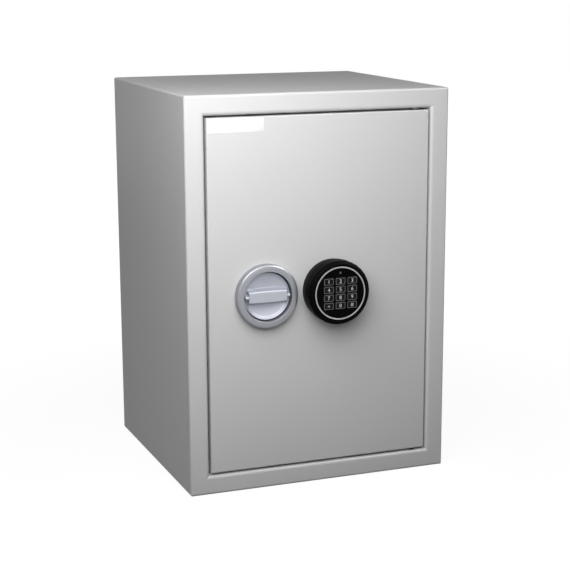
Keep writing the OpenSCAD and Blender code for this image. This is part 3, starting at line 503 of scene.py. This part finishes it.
def soft_rectangle(width, height, radius, steps):
    """Outline of a rectangle with round corners, anticlockwise."""
    points = []
    for cx, cz, start in ((1, 1, 0), (-1, 1, 90), (-1, -1, 180), (1, -1, 270)):
        centre = (cx * (width / 2 - radius), cz * (height / 2 - radius))
        points += arc(centre, radius, start, start + 90, steps)
    return points


def loft(name, sections):
    """Joins like outlines, each (points, y) in metres, and closes both ends."""
    net = bmesh.new()
    rows = [[net.verts.new((x, y, z)) for x, z in points] for points, y in sections]
    count = len(rows[0])
    for low, high in zip(rows, rows[1:]):
        for i in range(count):
            j = (i + 1) % count
            net.faces.new((low[i], low[j], high[j], high[i]))
    net.faces.new(rows[0])
    net.faces.new(list(reversed(rows[-1])))
    return mesh_of(net, name)


def islands(node):
    """Boxes of the separate solids in a CAD node."""
    net = bmesh.new()
    net.from_mesh(frame["nodes"][node].data)
    bmesh.ops.remove_doubles(net, verts=net.verts, dist=1e-6)
    left, boxes = set(net.verts), []
    while left:
        queue, found = [left.pop()], []
        while queue:
            vert = queue.pop()
            found.append(vert.co.copy())
            for edge in vert.link_edges:
                other = edge.other_vert(vert)
                if other in left:
                    left.remove(other)
                    queue.append(other)
        boxes.append((Vector(map(min, zip(*found))), Vector(map(max, zip(*found)))))
    net.free()
    return sorted(boxes, key=lambda box: tuple(box[0]))


def grown(name, tree, base, inputs):
    """Runs a Geometry Nodes tree on a base mesh and returns the result as a plain mesh."""
    carrier = bpy.data.objects.new(name, base)
    bpy.context.scene.collection.objects.link(carrier)
    modifier = carrier.modifiers.new(name, "NODES")
    modifier.node_group = tree
    for item in tree.interface.items_tree:
        if item.item_type == "SOCKET" and item.in_out == "INPUT" and item.name in inputs:
            modifier[item.identifier] = inputs[item.name]
    shown = carrier.evaluated_get(bpy.context.evaluated_depsgraph_get())
    mesh = bpy.data.meshes.new_from_object(shown)
    carrier.modifiers.remove(modifier)
    bpy.data.objects.remove(carrier)
    if not mesh.polygons:
        raise RuntimeError(f"{name} came out empty")
    return mesh


def new_tree(name, **sockets):
    """A Geometry Nodes tree with its named inputs."""
    tree = bpy.data.node_groups.new(name, "GeometryNodeTree")
    tree.interface.new_socket("Geometry", in_out="OUTPUT", socket_type="NodeSocketGeometry")
    tree.interface.new_socket("Geometry", in_out="INPUT", socket_type="NodeSocketGeometry")
    for key, kind in sockets.items():
        tree.interface.new_socket(key, in_out="INPUT", socket_type=kind)
    return tree, add(tree, "NodeGroupInput").outputs


def close_tree(tree, geometry, material):
    """Makes a tree's instances real, gives them their material and hands them out."""
    solid = add(tree, "GeometryNodeRealizeInstances", {"Geometry": geometry})
    coated = add(tree, "GeometryNodeSetMaterial", {"Geometry": solid.outputs[0],
                                                   "Material": material})
    add(tree, "NodeGroupOutput", {"Geometry": coated.outputs[0]})


# Pieces

class SAFE_OT_cabinet(bpy.types.Operator):
    """Paints the casing and the liner, and finishes what they hold"""

    bl_idname = "safe.cabinet"
    bl_label = "Cabinet"

    def execute(self, context):
        paint = powder_coated_steel("powder_coated_steel", finishes().paint)
        liner = powder_coated_steel("powder_coated_liner", finishes().liner)
        dress(paint, "outer_casing", "front_frame", "back_panel", "door_panel")
        dress(liner, "inner_casing", "shelf", "door_rear_cover")
        dress(gypsum_board(), "insulation_boards")
        dress(zinc_plated_steel(), "base_anchor_sleeves", "back_anchor_sleeves", "shelf_clips",
              "cover_posts", "frame_hinge_blocks", "door_hinge_blocks", "carriage_posts",
              "bolt_carriage", "drive_cam", "spindle_clip", "bolt_screws", "lock_cover")
        return {"FINISHED"}


class SAFE_OT_label(bpy.types.Operator):
    """Lays a blank film in the door's upper corner"""

    bl_idname = "safe.label"
    bl_label = "Label"

    def execute(self, context):
        low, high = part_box("door_panel")
        s = sizes()
        centre_x = low.x + s.label_inset + s.label_width / 2
        centre_z = high.z - s.label_inset - s.label_height / 2
        # The film's corner radius, and its edge that steps in as it rises, in mm
        corner, film_edge = 1, ((0, 0), (0, 0.08), (0.1, 0.12))
        sections = []
        for inset, lift in film_edge:
            points = soft_rectangle(s.label_width - 2 * inset * MM, s.label_height - 2 * inset * MM,
                                    (corner - inset) * MM, CORNER_STEPS)
            sections.append(([(x + centre_x, z + centre_z) for x, z in points],
                             DOOR_FACE - lift * MM))
        make_piece("blank_label", loft("blank_label", sections), [vinyl_film(finishes().label)],
                   "door", "door_paint")
        return {"FINISHED"}


class SAFE_OT_boltwork(bpy.types.Operator):
    """Finishes the hinges, the bolts, the carriage and the lock"""

    bl_idname = "safe.boltwork"
    bl_label = "Boltwork"

    def execute(self, context):
        steel = "#D2D4D6", "#B9BCBF"
        dress(turned_metal("turned_bright_steel_x", *steel, "X"), "locking_bolts",
              "hinge_side_dogs")
        dress(turned_metal("turned_bright_steel_y", *steel, "Y"), "spindle", "crank_pin",
              "cam_screw", "carriage_screws", "lock_screws", "handle_screws",
              "keypad_base_screws", "cover_screws")
        dress(turned_metal("turned_bright_steel_z", *steel, "Z"), "hinge_pins")
        dress(turned_metal("turned_brass", "#C8A566", "#A98752", "Z"), "spindle_bush", "lock_bolt")
        # Oiled bronze, drawn darker still as painted shade so that the bushes read as the door gap's shadow where
        # they show in it
        dress(turned_metal("oiled_bronze_in_gap_shade", "#474442", "#393735", "Z"), "hinge_bushes")
        dress(moulded_nylon(), "bolt_guides", "lock_socket")
        dress(hardened_steel(), "hard_plate")
        dress(die_cast_zinc(), "lock_case")
        dress(moulded_plastic("black_pvc_cable", linear("#18181A"), grain_mm=1.0,
                              rough=0.45, shine=0.5), "lock_cable")
        return {"FINISHED"}


class SAFE_OT_cover_screws(bpy.types.Operator):
    """Sets domed screws with a cross recess on the door's rear cover"""

    bl_idname = "safe.cover_screws"
    bl_label = "Cover screws"

    def execute(self, context):
        boxes = islands("cover_screws")
        if not boxes:
            raise RuntimeError("cover_screws holds no solid")
        radius = (boxes[0][1].x - boxes[0][0].x) / 2 / MM
        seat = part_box("door_rear_cover")[1].y
        crown = (boxes[0][1].y - seat) / MM
        # The dome's fall to its rim, and the cross recess with its sloping wall
        dome_fall, recess, recess_slope = 0.55, 0.55 * crown, 0.25
        arm_half, arm_end = 0.11 * radius, 0.5 * radius

        def head(x, z):
            r = np.hypot(x, z)
            dome = crown * (1 - dome_fall * (r / radius) ** 2)
            beside = np.minimum(np.abs(x), np.abs(z)) - arm_half
            beyond = np.maximum(np.abs(x), np.abs(z)) - arm_end
            outside = np.maximum(beside, beyond)
            return dome - recess * np.clip(0.5 - outside / recess_slope, 0, 1)

        # The rings lie closer over the recess than out to the rim
        radii = np.concatenate([np.linspace(0.05, 0.6, 18), np.linspace(0.64, 1.0, 9)]) * radius
        sides = 72
        template = bpy.data.objects.new("head", relief("head", radii, sides, head, 0, (0, 0)))
        template.data.transform(Matrix.Translation((0, -DOOR_FACE, 0)))
        template.data.transform(Matrix.Rotation(math.pi, 4, "Z"))
        context.scene.collection.objects.link(template)

        tree, given = new_tree("screw_rows", Head="NodeSocketObject", Seed="NodeSocketInt",
                               Finish="NodeSocketMaterial")
        head_mesh = add(tree, "GeometryNodeObjectInfo", {"Object": given["Head"]})
        turn = add(tree, "FunctionNodeRandomValue", {"Seed": given["Seed"], 3: 2 * math.pi},
                   data_type="FLOAT")
        around_y = add(tree, "ShaderNodeCombineXYZ", {"Y": turn.outputs[1]})
        rows = add(tree, "GeometryNodeInstanceOnPoints", {
            "Points": given["Geometry"], "Instance": head_mesh.outputs["Geometry"],
            "Rotation": around_y.outputs[0]})
        close_tree(tree, rows.outputs[0], given["Finish"])

        points = bpy.data.meshes.new("screw_places")
        points.from_pydata([((low.x + high.x) / 2, seat, (low.z + high.z) / 2)
                            for low, high in boxes], [], [])
        steel = bpy.data.materials["turned_bright_steel_y"]
        mesh = grown("screw_rows", tree, points, {"Head": template, "Seed": sizes().seed,
                                                  "Finish": steel})
        bpy.data.objects.remove(template)
        mesh.materials.clear()
        make_piece("cover_screw_heads", mesh, [steel], "door", "bright_steel", "cover_screws")
        return {"FINISHED"}


class SAFE_OT_handle(bpy.types.Operator):
    """Makes the handle's rosette and the dished knob with its grip bar"""

    bl_idname = "safe.handle"
    bl_label = "Handle"

    def execute(self, context):
        silver = satin_chromed_zinc("satin_chromed_zinc", finishes().silver, rough=0.53)
        dull = satin_chromed_zinc("dull_chromed_zinc", finishes().rosette, rough=0.3)
        # Dark zinc for the inside of the cup, a painted shade
        cup_shade = cup_shade_zinc()
        joint = JOINTS["handle_turn"]
        axis = (joint["pos_m"][0], joint["pos_m"][2])
        low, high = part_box("handle_housing")
        outer = (high.x - low.x) / 2 / MM
        crest = (DOOR_FACE - low.y) / MM
        floor = (DOOR_FACE - high.y) / MM
        knob_low, knob_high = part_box("handle_knob")
        knob_r = (knob_high.x - knob_low.x) / 2 / MM
        s = sizes()
        # The cup round the knob and the rosette's two small radii, in mm
        cup_gap, cup_wall, cup_floor, bore_r = 0.6, 2.6, 2.5, 8
        foot_r, lip_r = 0.4, 0.5
        cup = knob_r + cup_gap
        knob_r -= s.knob_play / MM
        outer += s.rosette_grow / MM
        shoulder = s.rosette_edge / MM
        lip = crest - s.rosette_sink / MM
        # How far the rosette's face leans at its shoulder and at its lip, in degrees
        outer_lean, inner_lean = 13, 3
        steep, flat = math.radians(outer_lean), math.radians(inner_lean)
        turn = outer - shoulder * (1 - math.sin(steep))
        bend = (turn - cup - lip_r) / (math.sin(steep) - math.sin(flat))
        hub = (turn - bend * math.sin(steep), lip - bend * math.cos(flat))
        knee = hub[1] + bend * math.cos(steep)
        section = arc((outer - foot_r, foot_r), foot_r, -90, 0, 4)
        section += arc((outer - shoulder, knee - shoulder * math.cos(steep)), shoulder,
                       0, 88 - outer_lean, 16)
        section += arc(hub, bend, 90 - outer_lean, 90 - inner_lean, 10)
        section += arc((cup + lip_r, lip - lip_r), lip_r, 90 - inner_lean, 180, 7)
        section += [(cup, floor + cup_floor), (bore_r, floor + cup_floor), (bore_r, floor),
                    (cup + cup_wall, floor), (cup + cup_wall, 0)]
        rosette = turned("rosette", section, axis, ROUND_STEPS)
        # Painted shade: a little way down inside the cup the chrome ends and the faces take dark zinc for the
        # gap's shadow
        shade_depth, slack = 0.9, 0.1
        for face in rosette.polygons:
            across = math.hypot(face.center.x - axis[0], face.center.z - axis[1]) / MM
            if across < cup + slack and DOOR_FACE - face.center.y < (lip - shade_depth) * MM:
                face.material_index = 1
        make_piece("rosette", rosette, [dull, cup_shade], "door", "handle_silver", "handle_housing",
                   crease=50)

        front = (DOOR_FACE - knob_low.y) / MM
        rim = front - s.grip_rise / MM
        # Edges in mm, and slopes as height over width
        edge, chamfer, boss_lap = 1.0, 1.4, 0.4
        side_slope, end_slope, boss_slope = 4.15, 5, 6
        dish_r = knob_r - s.dish_rim / MM
        floor_r = dish_r - s.dish_wall_width / MM
        wall_foot = rim - s.dish_wall_depth / MM
        dish_foot = rim - s.dish_depth / MM
        swell = s.grip_swell / 2 / MM
        half = s.grip_width / 2 / MM - swell
        grip_end = dish_r - s.grip_short / MM
        boss_r = s.boss_width / 2 / MM
        boss_top = rim + s.boss_rise / MM

        def knob(x, z):
            r = np.hypot(x, z)
            across, along = np.abs(z), np.abs(x)
            bowl = dish_foot + (wall_foot - dish_foot) * (r / floor_r) ** 2
            wall = wall_foot + (r - floor_r) * (rim - wall_foot) / (dish_r - floor_r)
            dish = smooth_max(bowl, wall, blend=0.8)
            disc = smooth_min(dish, np.full_like(r, rim), blend=0.4)
            side = across - half - swell * (1 - (along / grip_end) ** 2)
            bar = smooth_min(np.full_like(r, front), front - (side + chamfer), blend=0.35)
            bar = smooth_min(bar, front - chamfer - side * side_slope, blend=0.4)
            bar = smooth_min(bar, front - (along - grip_end) * end_slope, blend=0.35)
            boss = boss_top - boss_r + np.sqrt(np.clip(boss_r ** 2 - across ** 2, 0, None))
            boss = boss - np.clip(across - boss_r, 0, None) * boss_slope
            boss = smooth_min(boss, boss_top - (along - dish_r - boss_lap) * end_slope, blend=0.3)
            top = smooth_max(smooth_max(disc, bar, blend=1.1), boss, blend=0.4)
            past = np.clip((r - knob_r + edge) / edge, 0, 1)
            return top - edge * (1 - np.sqrt(1 - past ** 2))

        # The rings lie closest on the dish's wall and on the knob's round edge
        radii = np.concatenate([np.linspace(0.4, floor_r - 0.4, 70),
                                np.linspace(floor_r, dish_r, 22),
                                np.linspace(dish_r + 0.2, knob_r - edge, 5),
                                knob_r - edge + edge * np.sin(np.linspace(0.2, np.pi / 2, 8))])
        back = (DOOR_FACE - knob_high.y) / MM
        sides = 400
        make_piece("knob", relief("knob", radii, sides, knob, back, axis), [silver], "handle",
                   "handle_silver", "handle_knob", crease=60)
        return {"FINISHED"}


class SAFE_OT_keypad(bpy.types.Operator):
    """Makes the keypad's housing and ring, and finishes its face and inside"""

    bl_idname = "safe.keypad"
    bl_label = "Keypad"

    def execute(self, context):
        black = moulded_plastic("moulded_black_abs", finishes().moulding, grain_mm=0.6,
                                rough=0.42, shine=0.03)
        gloss = moulded_plastic("polished_black_acrylic", linear("#050506"), grain_mm=3.0,
                                rough=0.2, shine=0.025)
        low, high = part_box("keypad_housing")
        axis = ((low.x + high.x) / 2, (low.z + high.z) / 2)
        outer = (high.x - low.x) / 2 / MM
        front = (DOOR_FACE - low.y) / MM
        face = (DOOR_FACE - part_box("keypad_faceplate")[0].y) / MM
        ring_low, ring_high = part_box("keypad_ring")
        ring = (ring_high.x - ring_low.x) / 2 / MM
        # The shell's mouth and wall, then its side from the door to the front, in mm
        margin, lip_r, lip_drop, wall, hollow_h = 1.9, 0.3, 0.35, 2.6, 10
        taper, waist, waist_h, belly, belly_h, edge = 1.7, 0.75, 6, 20, 13.0, 5.0
        mouth = ring + margin
        section = [(outer - taper, 0), (outer - waist, waist_h)]
        section += arc((outer - belly, belly_h), belly, -14, 0, 6)
        section += arc((outer - edge, front - edge), edge, 0, 88, 20)
        section += arc((mouth + lip_r, front - lip_drop), lip_r, 90, 180, 4)
        section += [(mouth, face - wall), (outer - wall, face - wall), (outer - wall, hollow_h),
                    (outer - taper - wall, 0)]
        make_piece("keypad_shell", turned("keypad_shell", section, axis, ROUND_STEPS), [black],
                   "door", "pad_black", "keypad_housing", crease=50)

        top = (DOOR_FACE - ring_low.y) / MM
        # The ring's width, its seat in the face and its round edges, in mm
        width, sunk, soft = 1.7, 0.55, 0.25
        section = [(ring - width, face - sunk), (ring, face - sunk)]
        section += arc((ring - soft, top - soft), soft, 0, 90, 4)
        section += arc((ring - width + soft, top - soft), soft, 90, 180, 4)
        make_piece("keypad_bezel", turned("keypad_bezel", section, axis, ROUND_STEPS),
                   [anodised_aluminium()], "door", "ring_silver", "keypad_ring", crease=50)

        dress(gloss, "keypad_faceplate")
        dress(black, "keypad_base")
        dress(circuit_board(), "keypad_board")
        dress(tinted_lens(), "status_lamp")
        dress(moulded_plastic("printed_battery_jacket", linear("#2B2C2F"), grain_mm=2.0,
                              rough=0.35, shine=0.5), "battery")
        return {"FINISHED"}


class SAFE_OT_keys(bpy.types.Operator):
    """Makes the twelve rubber keys with their digits and the grey lines round them that paint the highlight on
    their bevels
    """

    bl_idname = "safe.keys"
    bl_label = "Keys"

    def execute(self, context):
        s = sizes()
        rubber = moulded_plastic("black_silicone_rubber", finishes().rubber, grain_mm=0.5,
                                 rough=0.4, shine=0.12)
        # Grey line round each key, a painted highlight for the light on its bevel
        line = printed_ink("grey_painted_bevel_highlight", finishes().outline)
        ink = printed_ink("white_printed_digits", finishes().ink)

        tree, given = new_tree("key_outline", Width="NodeSocketFloat", Height="NodeSocketFloat",
                               Radius="NodeSocketFloat", Line="NodeSocketFloat",
                               Film="NodeSocketFloat", Finish="NodeSocketMaterial")
        path = add(tree, "GeometryNodeCurvePrimitiveQuadrilateral", {
            "Width": given["Width"], "Height": given["Height"]})
        soft = add(tree, "GeometryNodeFilletCurve", {"Curve": path.outputs[0],
                                                     "Radius": given["Radius"],
                                                     "Count": CORNER_STEPS}, mode="POLY")
        strip = add(tree, "GeometryNodeCurvePrimitiveQuadrilateral", {
            "Width": given["Line"], "Height": given["Film"]})
        ribbon = add(tree, "GeometryNodeCurveToMesh", {"Curve": soft.outputs[0],
                                                       "Profile Curve": strip.outputs[0]})
        close_tree(tree, ribbon.outputs[0], given["Finish"])

        film, flange, corner, line_corner = 0.03 * MM, 1.8 * MM, 1 * MM, 0.7 * MM
        width, height, edge = s.key_width, s.key_height, s.key_edge
        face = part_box("keypad_faceplate")[0].y
        bodies = frame["record"]["behaviour"]["bodies"]
        upright = Matrix.Rotation(math.pi / 2, 4, "X")
        measure = self.digit("8", 1.0, film)
        unit = s.digit_height / max(v.co.y for v in measure.vertices) / 2
        bpy.data.meshes.remove(measure)
        for node, text in KEYS.items():
            low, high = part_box(node)
            centre = Vector(((low.x + high.x) / 2, low.y, (low.z + high.z) / 2))
            flange_w, flange_h = high.x - low.x, high.z - low.z
            steps = [(flange_w, flange_h, high.y), (flange_w, flange_h, high.y - flange),
                     (width, height, high.y - flange)]
            for turn in np.linspace(0, math.pi / 2, CORNER_STEPS + 1):
                inset = edge * (1 - math.cos(turn))
                depth = (face - low.y) * (1 - math.sin(turn))
                steps.append((width - 2 * inset, height - 2 * inset, low.y + depth))
            sections = [([(x + centre.x, z + centre.z)
                          for x, z in soft_rectangle(w, h, corner, CORNER_STEPS)], y)
                        for w, h, y in steps]
            outline = grown("key_outline", tree, bpy.data.meshes.new("blank"), {
                "Width": width - 2 * edge - s.outline_width,
                "Height": height - 2 * edge - s.outline_width,
                "Radius": line_corner, "Line": s.outline_width, "Film": film, "Finish": line})
            digit = self.digit(text, unit, film)
            for mesh in (outline, digit):
                mesh.transform(Matrix.Translation(centre) @ upright)
            net = bmesh.new()
            for index, mesh in enumerate((loft(node, sections), outline, digit)):
                count = len(net.faces)
                net.from_mesh(mesh)
                net.faces.ensure_lookup_table()
                for added in net.faces[count:]:
                    added.material_index = index
                bpy.data.meshes.remove(mesh)
            cap = bpy.data.meshes.new(node + "_cap")
            net.to_mesh(cap)
            net.free()
            body = next(name for name, nodes in bodies.items() if node in nodes)
            make_piece(node + "_cap", cap, [rubber, line, ink], body, "key_rubber", node)
        return {"FINISHED"}

    @staticmethod
    def digit(text, unit, film):
        """A printed sign as a mesh that is centred on its own box."""
        curve = bpy.data.curves.new("digit", "FONT")
        curve.body = text
        curve.size = unit
        curve.extrude = film / 2
        carrier = bpy.data.objects.new("digit", curve)
        bpy.context.scene.collection.objects.link(carrier)
        shown = carrier.evaluated_get(bpy.context.evaluated_depsgraph_get())
        mesh = bpy.data.meshes.new_from_object(shown)
        bpy.data.objects.remove(carrier)
        bpy.data.curves.remove(curve)
        places = np.array([v.co for v in mesh.vertices])
        middle = (places.min(0) + places.max(0)) / 2
        mesh.transform(Matrix.Translation(-Vector(middle)))
        mesh.materials.clear()
        return mesh


class SAFE_OT_stage(bpy.types.Operator):
    """Sets the pale floor, the studio lamps, the white surround and the camera"""

    bl_idname = "safe.stage"
    bl_label = "Stage"

    def execute(self, context):
        scene = context.scene
        scene.view_settings.view_transform = "Standard"

        # The camera and shiny pieces see a pale floor, and it keeps the shadow
        floor_mesh = bpy.data.meshes.new("floor")
        reach = 6.0
        floor_mesh.from_pydata([(-reach, -reach, 0), (reach, -reach, 0), (reach, reach, 0),
                                (-reach, reach, 0)], [], [(0, 1, 2, 3)])
        floor = bpy.data.objects.new("floor", floor_mesh)
        scene.collection.objects.link(floor)
        material, tree, place = start_material("pale_floor")
        direct, mirrored = light_paths(tree)
        far = add(tree, "ShaderNodeVectorMath", {0: place}, operation="LENGTH")
        pale = add(tree, "ShaderNodeMapRange", {"Value": far.outputs["Value"], "From Min": 0.35,
                                                "From Max": 1.0, "To Min": 0.93, "To Max": 1.0})
        spot = add(tree, "ShaderNodeSeparateXYZ", {"Vector": place})
        sheen = add(tree, "ShaderNodeMapRange", {"Value": spot.outputs["Y"], "From Min": -0.15,
                                                 "From Max": -0.5, "To Min": 0.3, "To Max": 0.95})
        echo = add(tree, "ShaderNodeMath", {0: mirrored, 1: sheen.outputs[0]},
                   operation="MULTIPLY")
        lift = add(tree, "ShaderNodeMath", {0: direct, 1: pale.outputs[0], 2: echo.outputs[0]},
                   operation="MULTIPLY_ADD")
        matt = add(tree, "ShaderNodeBsdfDiffuse", {"Color": shade(linear("#5E5E5E"))})
        glow = add(tree, "ShaderNodeEmission", {"Strength": lift.outputs[0]})
        both = add(tree, "ShaderNodeAddShader", {0: matt.outputs[0], 1: glow.outputs[0]})
        add(tree, "ShaderNodeOutputMaterial", {"Surface": both.outputs[0]})
        floor_mesh.materials.append(material)

        # The camera sees white, and shiny pieces a room that is dimmer behind the cabinet
        world = bpy.data.worlds.new("studio")
        scene.world = world
        world.use_nodes = True
        tree = world.node_tree
        tree.nodes.clear()
        direct, mirrored = light_paths(tree)
        toward = add(tree, "ShaderNodeTexCoord").outputs["Generated"]
        parts = add(tree, "ShaderNodeSeparateXYZ", {"Vector": toward})
        dim = add(tree, "ShaderNodeMapRange", {"Value": parts.outputs["Y"], "From Min": 0.35,
                                               "From Max": -0.2, "To Min": 0.27, "To Max": 1.0})
        white = add(tree, "ShaderNodeMath", {0: dim.outputs[0], 1: direct}, operation="MAXIMUM")
        seen = add(tree, "ShaderNodeBackground", {"Color": white.outputs[0]})
        ambient = add(tree, "ShaderNodeBackground", {"Strength": lights().sky,
                                                     "Color": (1.0, 1.0, 1.0, 1.0)})
        shown = add(tree, "ShaderNodeMath", {0: direct, 1: mirrored}, operation="ADD")
        mixed = add(tree, "ShaderNodeMixShader", {0: shown.outputs[0], 1: ambient.outputs[0],
                                                  2: seen.outputs[0]})
        add(tree, "ShaderNodeOutputWorld", {"Surface": mixed.outputs[0]})

        # Name, power, size, place and aim of each lamp, and whether it lights more than gloss
        power = lights()
        for lamp in (
            ("key", power.key, (0.6, 0.57), (-0.216, -0.538, 0.64), (0, -0.1, 0.25), True),
            ("left_fill", power.left, (0.4, 0.2), (-0.68, 0.08, 0.06), (-0.17, 0.05, 0.08), True),
            ("back_fill", power.back, (1.2, 1.2), (-0.3, 1.8, 0.7), (0, 0.16, 0.25), True),
            ("right_fill", power.back, (1.2, 1.2), (1.7, 0.6, 0.7), (0.17, 0, 0.25), True),
            ("edge_glint", power.edge, (1.8, 0.5), (1.5, -1.0, 1.7), (0.1, -0.16, 0.03), False),
            ("dish_glint", power.dish, (0.25, 0.25), (0.71, -0.57, 0.45), (-0.074, -0.16, 0.25),
             False),
        ):
            self.light(scene, *lamp)

        # The camera was fitted to the cabinet's corners in the photograph
        tilt, turn = math.radians(90 - 13.142), math.radians(-21.942)
        lens = bpy.data.cameras.new("camera")
        lens.sensor_width = 36
        lens.lens = 96.04
        lens.shift_x = -0.0498
        lens.shift_y = 0.0572
        camera = bpy.data.objects.new("camera", lens)
        camera.location = (-0.7076, -1.8921, 0.6531)
        camera.rotation_euler = Euler((tilt, 0, turn))
        scene.collection.objects.link(camera)
        scene.camera = camera
        return {"FINISHED"}

    @staticmethod
    def light(scene, name, power, size, place, aim, diffuse):
        """A soft lamp that the camera doesn't see; without diffuse only reflections show it."""
        data = bpy.data.lights.new(name, "AREA")
        data.shape = "RECTANGLE"
        data.size, data.size_y = size
        data.energy = power
        lamp = bpy.data.objects.new(name, data)
        lamp.location = place
        lamp.rotation_euler = (Vector(aim) - Vector(place)).to_track_quat("-Z", "Y").to_euler()
        lamp.visible_camera = False
        lamp.visible_diffuse = diffuse
        scene.collection.objects.link(lamp)


class SAFE_PT_panel(bpy.types.Panel):
    """Lists the safe's pieces and what can be changed"""

    bl_idname = "SAFE_PT_panel"
    bl_label = "Steel Safe"
    bl_space_type = "VIEW_3D"
    bl_region_type = "UI"
    bl_category = "Safe"

    def draw(self, context):
        for group in (finishes(), sizes(), lights()):
            column = self.layout.column(align=True)
            for key in group.__annotations__:
                column.prop(group, key)
        for operator in OPERATORS:
            self.layout.operator(operator.bl_idname)


OPERATORS = (
    SAFE_OT_stage,
    SAFE_OT_cabinet,
    SAFE_OT_label,
    SAFE_OT_boltwork,
    SAFE_OT_cover_screws,
    SAFE_OT_handle,
    SAFE_OT_keypad,
    SAFE_OT_keys,
)
GROUPS = {
    "safe_finishes": SafeFinishes,
    "safe_sizes": SafeSizes,
    "safe_lights": SafeLights,
}


def register():
    for key, group in GROUPS.items():
        bpy.utils.register_class(group)
        setattr(bpy.types.Scene, key, PointerProperty(type=group))
    for operator in OPERATORS:
        bpy.utils.register_class(operator)
    bpy.utils.register_class(SAFE_PT_panel)


def unregister():
    bpy.utils.unregister_class(SAFE_PT_panel)
    for operator in reversed(OPERATORS):
        bpy.utils.unregister_class(operator)
    for key, group in GROUPS.items():
        delattr(bpy.types.Scene, key)
        bpy.utils.unregister_class(group)


def main():
    register()
    bpy.ops.safe.stage()
    bpy.ops.safe.cabinet()
    bpy.ops.safe.label()
    bpy.ops.safe.boltwork()
    bpy.ops.safe.cover_screws()
    bpy.ops.safe.handle()
    bpy.ops.safe.keypad()
    bpy.ops.safe.keys()


if __name__ == "__main__":
    main()
